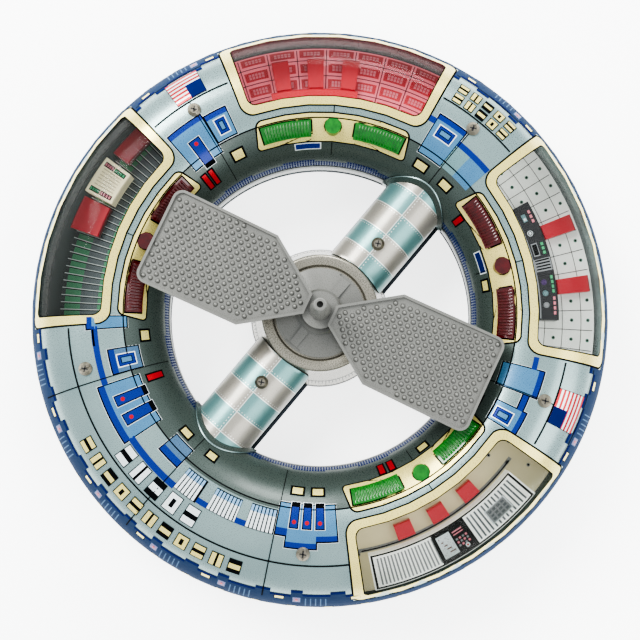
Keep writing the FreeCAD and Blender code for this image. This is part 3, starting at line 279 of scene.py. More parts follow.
def bar(tone, angles, across, lift, surface=ringPatch, group="ring"):
    # A rectangle of print between two angles and two distances
    low, high = sorted(angles)
    near, far = sorted(across)
    columns = max(2, int((high - low) / 1.2) + 2)
    rows = max(2, int((far - near) / 2.0) + 2)
    a, s = np.meshgrid(np.linspace(low, high, columns), np.linspace(near, far, rows))
    turned = gridQuads(rows, columns)
    if surface is floorPatch:
        turned = turned[:, ::-1]
    lay(tone, surface(a, s, lift), turned, group)


def roundedLoop(angles, across, corner, middleRadius, steps=7, skew=0.0):
    # A rounded rectangle as a closed loop of (angle, distance); skew widens its far side
    low, high = angles
    near, far = across
    perMm = math.degrees(1 / middleRadius)
    turn = np.linspace(0, math.pi / 2, steps)
    loop = []
    for quarterTurn, (x, y) in enumerate(((high, far), (low, far), (low, near), (high, near))):
        c = corner[quarterTurn] if isinstance(corner, (list, tuple)) else corner
        theta = turn + quarterTurn * math.pi / 2
        cx = x - math.copysign(c * perMm, x - (low + high) / 2)
        cy = y - math.copysign(c, y - (near + far) / 2)
        loop.append(np.stack([cx + c * perMm * np.cos(theta), cy + c * np.sin(theta)], 1))
    loop = np.concatenate(loop)
    middle = (low + high) / 2
    loop[:, 0] += skew * (loop[:, 1] - near) / (far - near) * np.sign(loop[:, 0] - middle)
    return loop


def dense(loop, pieces=6):
    # Each side of a closed loop cut into equal pieces so that it can follow the curved tin
    following = np.roll(loop, -1, 0)
    t = (np.arange(pieces) / pieces)[None, :, None]
    return (loop[:, None] * (1 - t) + following[:, None] * t).reshape(-1, 2)


def plaque(tone, loop, lift, rings=12, surface=ringPatch, group="ring"):
    # Filled outline: the loop shrunk towards its middle in steps
    middle = (loop.max(0) + loop.min(0)) / 2
    scale = np.linspace(0, 1, rings)[:, None, None]
    points = middle + (loop - middle)[None] * scale
    faces = gridQuads(rings, len(loop), True)[:, ::-1]
    lay(tone, surface(points[..., 0], points[..., 1], lift), faces, group)


def band(tone, inside, outside, lift, surface=ringPatch, group="ring", rings=4):
    # The strip between two loops with the same number of points
    t = np.linspace(0, 1, rings)[:, None, None]
    points = inside[None] * (1 - t) + outside[None] * t
    faces = gridQuads(rings, len(inside), True)[:, ::-1]
    lay(tone, surface(points[..., 0], points[..., 1], lift), faces, group)


def dot(tone, angle, along, size, lift, surface=ringPatch, group="ring", stretch=1.0):
    # A round spot of the given radius
    radius = float(onRing(along, 0)[0]) if surface is ringPatch else along
    turn = np.linspace(0, 2 * math.pi, 13)[:-1]
    loop = np.stack([angle + math.degrees(size / radius) * np.cos(turn) * stretch,
                     along + size * np.sin(turn)], 1)
    plaque(tone, loop, lift, 3, surface, group)


# heights of the print layers above the tin, in millimetres
level = {"ground": 0.13, "block": 0.17, "edge": 0.2, "mark": 0.23, "line": 0.26, "top": 0.29}
# headings in degrees of the seams between windows and of the window middles
boundaries = [18, 90, 162]
rooms = {"cream": -18, "grey": 54, "red": 126, "green": 198}


def arcLine(angles, along, width=0.7, tone="black", lift=None):
    bar(tone, angles, (along - width / 2, along + width / 2), lift or level["line"])


def radialLine(angle, across, width=0.45, tone="black"):
    half = math.degrees(width / 2 / 108)
    bar(tone, (angle - half, angle + half), across, level["line"])


def outlined(tone, angles, across, edge="black", width=0.5):
    # A block with a thin outline
    radius = float(onRing(sum(across) / 2, 0)[0])
    grow = math.degrees(width / radius)
    low, high = sorted(angles)
    near, far = sorted(across)
    bar(edge, (low - grow, high + grow), (near - width, far + width), level["edge"])
    bar(tone, angles, across, level["mark"])


def capped(angles, across, capWidth=2.4, body="paleBlue"):
    # A pale blue block with a strong blue band along its outer edge
    low, high = sorted(angles)
    near, far = sorted(across)
    bar("white", (low - 0.42, high + 0.42), (near - 0.9, far + 0.9), level["ground"])
    bar("black", (low - 0.33, high + 0.33), (near - 0.68, far + 0.68), level["block"])
    bar(body, (low, high), (near, far), level["edge"])
    bar("blue", (low, high), (near, near + capWidth), level["mark"])


def slotMark(angles, across, spot=None):
    low, high = sorted(angles)
    bar("white", (low - 0.45, high + 0.45), (across[0] - 0.7, across[1] + 0.7), level["mark"])
    bar("black", (low - 0.3, high + 0.3), (across[0] - 0.5, across[1] + 0.5), level["line"])
    bar("blue", angles, (across[0], across[1] - 2), level["top"])
    if spot:
        dot("red", (low + high) / 2, spot, 1.0, level["top"] + 0.04)


def bevelMark(angles, across):
    # A raised-looking square: dark frame, bright face, blue shadow side
    low, high = sorted(angles)
    near, far = sorted(across)
    bar("white", (low - 0.3, high + 0.3), (near - 0.5, far + 0.5), level["mark"])
    bar("navy", (low, high), (near, far), level["line"])
    bar("blue", (low + 0.25, high - 0.25), (near + 0.5, far - 0.5), level["top"])
    bar("black", (low + 0.75, high - 0.75), (near + 1.4, far - 1.5), level["top"] + 0.03)
    bar("paleBlue", (low + 0.95, high - 0.95), (near + 1.8, far - 1.9), level["top"] + 0.06)


def creamMark(angles, across):
    outlined("cream", angles, across, "black", 1.0)


def redMark(angles, across):
    outlined("red", angles, across, "black", 0.75)


def louvre(angles, across, step=1.05):
    # Upright slats, white fading to pale blue at their inner ends
    low, high = sorted(angles)
    near, far = sorted(across)
    bar("black", (low, high), (near, far), level["block"])
    for start in np.arange(low + 0.12, high - 0.5, step):
        stop = min(start + step * 0.7, high - 0.1)
        bar("white", (start, stop), (near + 0.3, far - 3.6), level["edge"])
        bar("hazeBlue", (start, stop), (far - 3.6, far - 0.5), level["edge"])


def printRooms():
    for heading in rooms.values():
        # cream window frame with a black outline
        glass = dense(roundedLoop((heading - 23.2, heading + 23.2), (21.8, 58.8), (4.5, 4.5, 2.5, 2.5), 115))
        outer = dense(roundedLoop((heading - 25.2, heading + 25.2), (18.2, 62.6), (6.5, 6.5, 3.5, 3.5), 115))
        outline = dense(roundedLoop((heading - 25.6, heading + 25.6), (17.4, 63.3), (7, 7, 4, 4), 115))
        band("cream", glass, outer, level["edge"])
        band("black", outer, outline, level["edge"])
        lip = dense(roundedLoop((heading - 22.95, heading + 22.95), (22.2, 58.4), (4.3, 4.3, 2.4, 2.4), 115))
        band("black", lip, glass, level["edge"])
        # cream lens plaque, wider on its inner side
        shape = dense(roundedLoop((heading - 22.6, heading + 22.6), (66.8, 81.0), 2.4, 92, 7, 2.2))
        wide = dense(roundedLoop((heading - 23.1, heading + 23.1), (66.1, 81.7), 3.0, 92, 7, 2.2))
        plaque("black", wide, level["block"], 14)
        plaque("cream", shape, level["edge"], 14)
        for side in (-1, 1):
            bar("black", (heading + side * 14.5 - 8.2, heading + side * 14.5 + 8.2), (69.4, 78.9),
                level["mark"])
        dot("black", heading, 73.3, 4.5, level["mark"])
        radialLine(heading, (63.4, 66.4))
        radialLine(heading, (81.8, 90))


def printInnerWall():
    bar("tinInner", (-180, 180), (69.2, 121.0), level["ground"])
    arcLine((-180, 180), 69.0, 0.6)
    # navy checker dashes low on the inner wall, in runs
    for heading in np.arange(-180, 180, 12):
        lift = level["block"]
        tall = 6.2 if int(heading / 12) % 2 else 4.6
        bar("navyDull", (heading, heading + 12.1), (100.3 - tall, 100.3), lift)
        for k in range(12):
            for j in range(3):
                bar("navy", (heading + 0.1 + k, heading + 0.7 + k),
                    (100.6 - tall + j * tall / 3, 100.1 - tall + (j + 1) * tall / 3), level["edge"])
    arcLine((-180, 180), 101.2, 0.7)


def printBoundary18():
    capped((17.8, 24.5), (52.5, 72.5))
    capped((13.3, 17.5), (56, 58.6), 2.6)
    bar("blue", (24.5, 27.8), (56.4, 58.8), level["edge"])
    capped((7.6, 13.3), (53.8, 69), 2.2)
    bevelMark((8.5, 11.7), (59, 67.5))
    pennant((13.9, 22), (27.6, 43.0), (13.9, 17.8), (35.3, 43.0))
    creamMark((19.3, 22.6), (76.5, 80.2))
    creamMark((9.4, 12.4), (76.5, 80.2))


def pennant(angles, across, cantonAngles, cantonAcross):
    # A plain striped pennant with a plain dark corner
    low, high = sorted(angles)
    near, far = sorted(across)
    outlined("white", angles, across, "black", 0.25)
    stripes = 7
    pitch = (far - near) / (stripes * 2 - 1)
    for k in range(stripes):
        bar("red", angles, (near + 2 * k * pitch, near + (2 * k + 1) * pitch), level["line"])
    bar("navy", cantonAngles, cantonAcross, level["top"])


def signs(tone, start, step, count, across):
    # A row of plain geometric signs: bars, rings and wedges, standing in for painted signs
    near, far = across
    height = far - near
    for k in range(count):
        a = start + k * step
        width = abs(step) * 0.62
        kind = k % 4
        bar("black", (a - width / 2 - 0.2, a + width / 2 + 0.2), (near - 0.4, far + 0.4), level["mark"])
        if kind == 0:
            bar(tone, (a - width / 2, a + width / 2), (near, near + height * 0.36), level["line"])
            bar(tone, (a - width / 2, a + width / 2), (far - height * 0.36, far), level["line"])
        elif kind == 1:
            bar(tone, (a - width / 2, a - width * 0.1), across, level["line"])
            bar(tone, (a + width * 0.1, a + width / 2), across, level["line"])
        elif kind == 2:
            bar(tone, (a - width / 2, a + width / 2), (near + height * 0.3, far - height * 0.3),
                level["line"])
        else:
            bar(tone, (a - width / 2, a + width / 2), across, level["line"])
            bar("black", (a - width * 0.16, a + width * 0.16), (near + height * 0.25, far - height * 0.25),
                level["top"])


def printBoundary90():
    capped((90.6, 98.5), (51.6, 72))
    bevelMark((92.2, 97), (56, 61.8))
    bar("blue", (79.7, 90.4), (56.8, 59.6), level["edge"])
    bar("blue", (98.7, 100.4), (54, 57), level["edge"])
    bar("teal", (85.7, 90.4), (59.6, 72), level["block"])
    bar("paleBlue", (79.7, 85.7), (59.6, 72), level["block"])
    signs("cream", 97.0, -3.2, 5, (30.5, 35.5))
    signs("cream", 97.0, -3.2, 5, (37.5, 42.0))
    creamMark((83.6, 87.2), (76, 80))
    creamMark((93.5, 97.4), (76, 80))


def printBoundary162():
    capped((161.5, 171.3), (52, 72.5))
    slotMark((165, 168), (60.5, 75), 62.6)
    capped((155, 160.9), (54, 67.7))
    bevelMark((156.3, 159.2), (57.8, 65.3))
    pennant((157.2, 164.7), (26.9, 42.2), (157.2, 160.9), (34, 42.2))
    redMark((169.8, 171.3), (77, 86))
    redMark((167.2, 168.6), (77, 86))
    creamMark((155.6, 159.1), (75.5, 80.5))


def printFront():
    # the sector with no window, from the green room round to the cream room
    capped((-58.5, -51), (50.8, 71))
    capped((-51, -45.7), (54.2, 71))
    for low in (-51, -54.5, -58):
        slotMark((low, low + 2.0), (60, 71.8), 62.6)
    capped((-61.4, -58.5), (56, 71), 3.2)
    louvre((-69.3, -61.8), (55.3, 67))
    louvre((-80, -72), (55.3, 66.6))
    louvre((-89.7, -83), (54.8, 66.6))
    for span in ((-72, -69.3), (-83, -80)):
        bar("blue", span, (55.3, 58), level["edge"])
    bar("blue", (-106, -89.7), (53.8, 57), level["edge"])
    bar("tinInner", (-92.6, -61.6), (67.6, 69.2), level["ground"])
    capped((-120.6, -105.8), (51.6, 71.6), 3.0)
    slotMark((-111.9, -109.2), (57.2, 72.6), 60.5)
    slotMark((-117, -114.6), (57.2, 72.6), 60.5)
    capped((-99.2, -92.4), (63, 73.6), 3.2, "softBlue")
    bar("blue", (-136, -120.8), (53.8, 56.6), level["edge"])
    capped((-129.3, -122.8), (60.5, 75), 2.6, "softBlue")
    bevelMark((-127.6, -124.3), (64, 72.5))
    redMark((-119.7, -117.9), (75.5, 84.5))
    for low, high in ((-88.3, -85.3), (-99.4, -96), (-58.7, -55.4), (-52.3, -49)):
        creamMark((low, high), (76.6, 80.2))
    signs("cream", -110, 4.15, 11, (31.5, 38.5))
    signs("white", -103, 5.2, 5, (44.4, 53))
    arcLine((-136, -43.6), 42.6)
    for angle in (-61.6, -92.3, -122.5):
        radialLine(angle, (20, 92))
    # left side of the front sector, next to the green room
    bar("blue", (224.8, 229), (53.6, 56), level["edge"])
    capped((221.6, 224.6), (51.6, 70.5))


def printOuterBand():
    # blue-grey band round the outside with navy steps, small windows and ribs
    bar("tinBand", (-180, 180), (2, 17.2), level["ground"])
    spans = [(-136.6, -43.4), (7.6, 28.4), (79.6, 100.4), (151.6, 172.4)]
    for low, high in spans:
        bar("tinBand", (low, high), (17, 24.5), level["ground"])
        edge = low
        step = 0
        while edge < high - 0.5:
            stop = min(edge + (4.2, 2.4, 5.6, 3.1)[step % 4], high)
            drop = (24.5, 28.2, 25.6, 27.4)[step % 4]
            bar("tinBand", (edge, stop), (22, drop), level["block"])
            bar("navy", (edge, stop), (drop - 1.6, drop), level["edge"])
            if step % 4 == 0:
                outlined("cream", (edge + 1.0, edge + 2.8), (20.4, 22.6), "black", 0.35)
            if step % 4 == 2:
                for k in range(5):
                    bar("ribBlue", (edge + 0.5 + k, edge + 0.75 + k), (13, 22.4), level["mark"])
            if step % 4 == 1 and stop - edge > 2:
                outlined("violet", (edge + 0.5, edge + 1.9), (18, 22.5), "ribBlue", 0.3)
                dot("red", edge + 1.2, 20.3, 0.7, level["top"])
            edge = stop
            step += 1
    for low in np.arange(-180, 180, 7.2):
        bar("navy", (low, low + 5.2), (3.4, 5.6), level["block"])
        outlined("cream", (low + 1.2, low + 2.8), (8.2, 10.8), "black", 0.35)
    for low, high in spans[1:]:
        arcLine((low + 0.4, high - 0.4), 43.4)
        arcLine((low + 0.4, high - 0.4), 25.2, 0.4)


def printUnderPanels():
    redMark((72.8, 74.6), (82.5, 89))
    outlined("navy", (53.7, 60.8), (83, 86.3), "white", 0.6)
    creamMark((47.6, 50.9), (83.4, 86.8))
    outlined("blue", (130, 138.3), (82.6, 85.6), "white", 0.6)
    creamMark((-14.4, -11.1), (83.4, 86.8))
    redMark((-26.1, -24.3), (82.5, 89))
    redMark((-29.6, -27.8), (82.5, 89))
    creamMark((226.1, 229.1), (77.6, 82))
    for angle in boundaries:
        radialLine(angle, (44, 92))


printRooms()
printInnerWall()
printBoundary18()
printBoundary90()
printBoundary162()
printFront()
printOuterBand()
printUnderPanels()


# ---- room floors and consoles ----

def topOf(node):
    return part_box(node)[1].z / mm


floorLevel = 22.5
under = {"floor": floorLevel + 0.06, "tile": floorLevel + 0.11, "mark": floorLevel + 0.16,
         "line": floorLevel + 0.21}


def flatBar(tone, angles, radii, height, group):
    bar(tone, angles, radii, height, floorPatch, group)


def flatSpot(tone, angle, radius, size, height, group):
    dot(tone, angle, radius, size, height, floorPatch, group)


def floorGrid(middle, radials, arcs, tone, group, width=0.35):
    # Thin radial and round lines over a room floor
    for angle in radials:
        half = math.degrees(width / 2 / 120)
        flatBar(tone, (angle - half, angle + half), (99.6, 141), under["line"], group)
    for radius in arcs:
        flatBar(tone, (middle - 27.5, middle + 27.5), (radius - width / 2, radius + width / 2),
                under["line"], group)


def printRedRoom():
    middle, pitch = rooms["red"], 6.45
    radials = [middle + pitch * (k - 3.6) for k in range(8)]
    arcs = [101.6, 110.2, 118.8, 127.2, 135.4]
    floorGrid(middle, radials, arcs, "black", "redFloor")
    for a in [radials[0] - pitch] + radials:
        for near, far in zip([93.2] + arcs, arcs + [143.6]):
            low, high = max(a + 0.55, middle - 27.5), min(a + pitch - 0.55, middle + 27.5)
            near, far = max(near + 1.7, 99.6), min(far - 1.7, 141)
            if high - low < 1 or far - near < 1:
                continue
            flatBar("tileRed", (low, high), (near, far), under["tile"], "redFloor")
            step = (high - low - 1.6) / 5
            for k in range(5):
                for side in (0, 1):
                    deep = (far - near - 2.2) / 2
                    inner = near + 1.0 + side * (deep + 0.2)
                    flatBar("tilePink", (low + 0.8 + k * step + 0.08, low + 0.8 + (k + 1) * step - 0.08),
                            (inner, inner + deep), under["mark"], "redFloor")


def printGreyRoom():
    middle, pitch = rooms["grey"], 4.35
    radials = [middle + pitch * (k - 5.9) for k in range(13)]
    arcs = [107.0, 116.3, 125.4, 135.0]
    floorGrid(middle, radials, arcs, "black", "greyFloor", 0.28)
    for a in radials:
        for radius in (111.6, 121, 130.2, 138.6):
            if a + pitch / 2 < middle + 27:
                flatSpot("dotGreen", a + pitch / 2, radius, 0.95, under["tile"], "greyFloor")
                flatSpot("black", a + pitch / 2, radius, 0.42, under["mark"], "greyFloor")
    # console top: dark panel with lit keys, gauges and a grille
    top = topOf("grey_room_console")
    low, mid, high = top + 0.05, top + 0.1, top + 0.15
    group = "greyConsole"
    flatBar("steelGrey", (39.2, 68.5), (111.8, 112.5), low, group)
    flatBar("steelGrey", (51.2, 54.4), (112.6, 121), low, group)
    for k in range(4):
        flatBar("black", (51.6 + k * 0.75, 51.95 + k * 0.75), (113, 120.4), mid, group)
    for k in range(4):
        flatBar("tilePink", (40.2 + k * 1.2, 41 + k * 1.2), (118.9, 120.1), mid, group)
        flatBar("keyGreen", (45.6 + k * 1.15, 46.4 + k * 1.15), (118.9, 120.1), mid, group)
    for k in range(3):
        flatBar("keyGreen", (55.4 + k * 1.1, 56.1 + k * 1.1), (118.3, 119.7), mid, group)
        flatBar("tilePink", (63.6 + k * 1.2, 64.4 + k * 1.2), (118.6, 119.9), mid, group)
    flatBar("teal", (64.4, 66.4), (114.6, 116.8), low, group)
    flatBar("white", (64.7, 65.4), (115, 116.4), mid, group)
    for a, tone in ((61.3, "white"), (42.6, "steelGrey"), (45.6, "teal"), (48.4, "violet")):
        flatSpot(tone, a, 115.3, 1.5, low, group)
        flatSpot("black", a, 115.3, 1.15, mid, group)
        flatSpot(tone, a, 115.3, 0.7 if tone == "white" else 1.05, high, group)
    flatBar("steelGrey", (55.2, 58.6), (113.4, 116.6), low, group)
    flatBar("black", (55.5, 58.3), (113.8, 116.2), mid, group)


def printCreamRoom():
    middle = rooms["cream"]
    for a, radius in ((-44, 110), (-43.5, 119), (-41.8, 131), (-40.8, 123), (0.5, 112), (2, 121.5),
                      (4.5, 131), (6.5, 116)):
        flatSpot("steelGrey", a, radius, 1.0, under["tile"], "creamFloor")
        flatSpot("black", a, radius, 0.5, under["mark"], "creamFloor")
    flatBar("umber", (middle - 27, middle + 27), (104.6, 106.4), under["tile"], "creamFloor")
    flatBar("steelGrey", (-41, 3.4), (120.4, 122.4), under["tile"], "creamFloor")
    flatBar("black", (-40, 2.6), (121.4, 122), under["mark"], "creamFloor")
    # silver console: ribbed halves either side of a dark key panel
    top = topOf("cream_room_console")
    low, mid, high = top + 0.05, top + 0.1, top + 0.15
    group = "creamConsole"
    for radii in ((123.3, 124.1), (139.2, 140)):
        flatBar("black", (-38.2, 0.0), radii, low, group)
    for angles in ((-38.3, -37.8), (-0.5, 0.0)):
        flatBar("black", angles, (123.3, 140), low, group)
    for k in range(17):
        a = -37 + k * 0.82
        flatBar("steelGrey", (a, a + 0.36), (125.2, 138.4), low, group)
    for k in range(13):
        a = -14.3 + k * 1.04
        flatBar("slate", (a, a + 0.42), (125.2, 138.4), low, group)
    flatBar("white", (-10.4, -4.6), (128.6, 136.4), mid, group)
    flatBar("steelGrey", (-10.1, -4.9), (129.1, 135.9), high, group)
    for k in range(4):
        for j in range(3):
            flatBar("slate", (-9.7 + k * 1.2, -8.9 + k * 1.2), (129.9 + j * 2, 131.2 + j * 2), high + 0.05,
                    group)
    flatBar("black", (-23.6, -15.0), (124.1, 139.2), mid, group)
    flatBar("white", (-22.8, -19.4), (126, 137.6), high, group)
    for k in range(5):
        flatBar("umber", (-22.4 + k * 0.3, -22.2 + k * 0.6), (127.4 + k * 1.9, 128 + k * 1.9), high + 0.05,
                group)
    for row in range(3):
        for column in range(4):
            flatBar("tilePink" if (row + column) % 2 else "steelGrey",
                    (-18.9 + column * 0.78, -18.4 + column * 0.78), (131 + row * 1.7, 132.1 + row * 1.7),
                    high, group)
    flatBar("tilePink", (-18.9, -16.4), (127.2, 127.9), high, group)
    flatBar("tilePink", (-18.9, -16.4), (128.7, 129.3), high, group)
    flatSpot("white", -17.2, 136.6, 1.2, high, group)
    flatSpot("red", -17.2, 136.6, 0.5, high + 0.05, group)


def printGreenRoom():
    middle = rooms["green"]
    group = "greenFloor"
    span = (middle - 27.5, middle + 27.5)
    for radii, tone in (((99.6, 112), "slateDark"), ((112, 115.5), "leafGreen"), ((115.5, 124.5), "slateMid"),
                        ((124.5, 132.5), "leafGreen"), ((132.5, 141), "slateDark")):
        flatBar(tone, span, radii, under["floor"], group)
    for k in range(34):
        a = span[0] + 0.8 + k * 1.62
        flatBar("paleGrey", (a - 0.09, a + 0.09), (112.5, 134.5), under["mark"], group)
        flatBar("black", (a + 0.1, a + 0.32), (112.5, 132.5), under["tile"], group)
    top = topOf("green_room_console")
    low, mid = top + 0.05, top + 0.1
    group = "greenConsole"
    for a in (184.1, 190.2):
        flatBar("black", (a, a + 1.1), (122.8, 129.4), low, group)
        flatBar("black", (a, a + 1.1), (129.8, 135.4), low, group)
        for k in range(4):
            first, second = ("keyGreen", "tilePink") if a < 187 else ("tilePink", "keyGreen")
            flatBar(first, (a + 0.2, a + 0.9), (123.4 + k * 1.55, 124.5 + k * 1.55), mid, group)
            flatBar(second, (a + 0.2, a + 0.9), (130.3 + k * 1.3, 131.2 + k * 1.3), mid, group)
    for k in range(6):
        flatBar("umberPale", (185.6 + k * 0.75, 185.8 + k * 0.75), (123.5, 134.5), low, group)


roomInks = {"tileRed": ("#c8343f", "#b92b37"), "tilePink": ("#e08590", "#d6747f"),
            "dotGreen": ("#4f7a66", "#456d5a"), "keyGreen": ("#3fae72", "#359a63"),
            "steelGrey": ("#8b8e8f", "#7b7e80"), "umber": ("#6b4a3a", "#5d3f31"),
            "umberPale": ("#c9bd93", "#bdb088"), "slate": ("#5f6668", "#51585a"),
            "slateDark": ("#2a3533", "#222c2a"), "slateMid": ("#4c5959", "#434f4f"),
            "leafGreen": ("#418a5d", "#377a50"), "paleGrey": ("#c9d2cc", "#bcc6c0")}
for name, pair in roomInks.items():
    inks[name] = ink("print" + name[0].upper() + name[1:], *pair, metallic=0.1, roughness=0.42)
printRedRoom()
printGreyRoom()
printCreamRoom()
printGreenRoom()
print("rooms printed")


# ---- spokes and hub ----

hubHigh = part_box("hub_shell")[1] / mm
spoke = {"half": 16.0, "ridge": 49.0, "saddle": 3.5, "saddleLift": 0.97}
hub = {"wallTop": 28.9, "wallFoot": hubHigh.x, "rim": hubHigh.z, "foot": ring["hem"], "round": 1.5}


def spokeReach(x, z, lift=0.45):
    # Where the spoke's skin ends: by the hub's flared wall and by the ring's inner round, lifted
    wall = np.interp(z, [hub["foot"], hub["rim"] - hub["round"]], [hub["wallFoot"], hub["wallTop"]]) + 0.45
    rise = np.clip((tube + lift) ** 2 - (z - ring["equator"]) ** 2, 0, None)
    skin = ring["inner"] + tube - np.sqrt(rise)
    return np.sqrt(np.maximum(wall ** 2 - x ** 2, 0)), np.sqrt(np.maximum(skin ** 2 - x ** 2, 0))


def spokePatch(side):
    # across is degrees from the ridge round the half tube, along is millimetres out along the spoke
    def place(across, along, lift):
        turn = np.radians(across)
        x = (spoke["half"] + lift) * np.sin(turn)
        z = spoke["ridge"] - spoke["half"] + (spoke["half"] + lift) * np.cos(turn)
        near, far = spokeReach(x, z)
        y = np.clip(along, near, far)
        return np.stack([x * side, y * side, z], -1)
    return place


def printSpokes():
    for side in (1, -1):
        surface = spokePatch(side)
        group = "spoke"
        start, pitch = 26.0, 12.4
        for row in range(5):
            for column in range(2):
                tone = "spokeTeal" if (row + column + (side < 0)) % 2 else "spokeGrey"
                low = -88 + column * 88
                finePatch(tone, (low, low + 88), (start + row * pitch, start + (row + 1) * pitch), 0.08,
                          surface, group)
            if row:
                finePatch("seam", (-88, 88), (start + row * pitch - 0.22, start + row * pitch + 0.22), 0.13,
                          surface, group)
                for k in range(30):
                    a = -87 + k * 6
                    finePatch("seam", (a, a + 1.6), (start + row * pitch - 1.4, start + row * pitch - 0.9),
                              0.13, surface, group, 2)
        finePatch("seam", (-0.8, 0.8), (start, start + 5 * pitch), 0.13, surface, group)
        for k in range(34):
            y = start + 2 + k * 1.8
            finePatch("seam", (3.6, 5.2), (y, y + 0.7), 0.13, surface, group, 2)


def printSaddles():
    # The cover's end flange lies on the ring's inner round and is printed like it: each point sits on
    # the round, at a turn and a radius about the spoke's long axis
    turn, radius = np.meshgrid(np.radians(np.linspace(-89, 89, 61)),
                               np.linspace(spoke["half"] + 0.1, spoke["half"] + spoke["saddle"] - 0.1, 4))
    x = radius * np.sin(turn)
    z = spoke["ridge"] - spoke["half"] + radius * np.cos(turn)
    y = spokeReach(x, z, spoke["saddleLift"])[1]
    for side in (1, -1):
        lay("tinInner", np.stack([x * side, y * side, z], -1), gridQuads(4, 61), "spoke")


def finePatch(tone, across, along, lift, surface, group, least=0):
    columns = least or max(3, int(abs(across[1] - across[0]) / 5) + 2)
    rows = least or max(2, int(abs(along[1] - along[0]) / 2.2) + 2)
    a, s = np.meshgrid(np.linspace(across[0], across[1], columns), np.linspace(along[0], along[1], rows))
    lay(tone, surface(a, s, lift), gridQuads(rows, columns)[:, ::-1], group)


def hubPatch(angle, height, lift):
    # The hub's flared wall
    radius = np.interp(height, [hub["foot"], hub["rim"] - hub["round"]], [hub["wallFoot"], hub["wallTop"]])
    return roundRing(angle, radius + lift, np.asarray(height, float))


def printHub():
    group = "hub"
    for k in range(120):
        a = k * 3.0
        if min(abs(a - 90), abs(a - 270)) < 30:
            continue
        long = 17 if k % 5 == 0 else 21.5
        half = 0.28
        columns = np.array([a - half, a + half])
        heights = np.linspace(long, 26, 3)
        grid = np.meshgrid(columns, heights)
        lay("slateDark", hubPatch(grid[0], grid[1], 0.1), gridQuads(3, 2), group)
    for low, high, tone in ((14.6, 16, "slateDark"), (26.6, 27.6, "steelGrey")):
        grid = np.meshgrid(np.linspace(0, 360, 121), np.linspace(low, high, 2))
        lay(tone, hubPatch(grid[0], grid[1], 0.06), gridQuads(2, 121), group)


for name, pair in {"spokeTeal": ("#6f9795", "#5f8886"), "spokeGrey": ("#a09c92", "#918d84"),
                   "seam": ("#d9dcd6", "#ccd0ca")}.items():
    inks[name] = ink("print" + name[0].upper() + name[1:], *pair, metallic=0.45, roughness=0.33)
printSpokes()
printSaddles()
printHub()

groups = {"ring": ("hull", "litho_tin"), "redFloor": ("hull", "liner_red_room"),
          "greyFloor": ("hull", "liner_grey_room"), "greyConsole": ("hull", "black_tin"),
          "creamFloor": ("hull", "liner_cream_room"), "creamConsole": ("hull", "silver_tin"),
          "greenFloor": ("hull", "liner_green_room"), "greenConsole": ("hull", "cream_tin"),
          "spoke": ("hull", "litho_tin"), "hub": ("hull", "hub_tin")}


def releasePrints():
    # One piece for each ink on each carrier
    for (group, tone), parts in prints.items():
        sizes = np.cumsum([0] + [len(vertices) for vertices, quads in parts])
        points = np.concatenate([vertices for vertices, quads in parts])
        faces = np.concatenate([quads + first for (vertices, quads), first in zip(parts, sizes)])
        makePiece(group + "Print" + tone[0].upper() + tone[1:], points, faces, inks[tone], *groups[group])


releasePrints()
print("printed")


# ---- cross recesses in the screw heads, drawn as painted shade: flat black crosses on the heads ----

screws = {"ringHeadings": (-54, 18, 90, 162, 234), "ringDistance": 115.0, "spokeDistance": 44.5, "half": 1.55,
          "width": 0.3}


def makeCrossShadows():
    ringTop = topOf("cover_screws") + 0.03
    spokeTop = spoke["ridge"] + 0.05 + 1.9 + 0.03
    places = [(math.radians(h), screws["ringDistance"], ringTop) for h in screws["ringHeadings"]]
    places += [(math.radians(h), screws["spokeDistance"], spokeTop) for h in (90, 270)]
    points, faces = [], []
    for heading, distance, height in places:
        for turn in (0.5, 0.5 + math.pi / 2):
            along = np.array([math.cos(turn), math.sin(turn)]) * screws["half"]
            across = np.array([-math.sin(turn), math.cos(turn)]) * screws["width"]
            centre = np.array([math.cos(heading), math.sin(heading)]) * distance
            corners = [centre - along - across, centre + along - across, centre + along + across,
                       centre - along + across]
            faces.append([len(points) + k for k in range(4)])
            points += [(x, y, height) for x, y in corners]
    # black crosses are painted shade standing in for the hollow cross recesses
    makePiece("screwCrossShadows", points, faces, finishes["battery_box"], "hull", "battery_box", False)


makeCrossShadows()


# ---- lens ribs ----

lensBars = {"centre": 14.5, "span": 15.5, "low": 131.0, "high": 116.0, "rise": 1.5, "ribs": 15, "rim": 0.7}


def barSkin(middle, low, high, rise):
    # Ribbed skin of a lens bar: height follows a rounded wave across the ribs, flat at the rim
    count = lensBars["ribs"] * 8
    angle, slope = np.meshgrid(np.linspace(low, high, count + 1), np.linspace(0, 1, 9))
    wave = 0.5 - 0.5 * np.cos(2 * math.pi * (angle - low) / (high - low) * lensBars["ribs"])
    edge = np.clip(np.minimum(slope, 1 - slope) * 9, 0, 1)
    height = tube + rise + 0.04 + 0.42 * wave * edge
    turn = np.radians(lensBars["low"] - 1.3 - slope * (lensBars["low"] - lensBars["high"] - 2.6))
    radius = ring["inner"] + tube + height * np.cos(turn)
    return roundRing(middle + angle, radius, ring["equator"] + height * np.sin(turn)), 9, count + 1


def makeLensRibs():
    for room, heading in rooms.items():
        points, faces, first = [], [], 0
        for side in (-1, 1):
            middle = side * lensBars["centre"]
            half = lensBars["span"] / 2 - lensBars["rim"]
            skin, rows, columns = barSkin(heading, middle - half, middle + half, lensBars["rise"])
            points.append(skin.reshape(-1, 3))
            faces.append(gridQuads(rows, columns) + first)
            first += rows * columns
        slot = "green_lens" if room in ("cream", "red") else "red_lens"
        makePiece(room + "LensRibs", np.concatenate(points), np.concatenate(faces), finishes[slot],
                  "hull", slot)


makeLensRibs()


# ---- paddle dimples ----

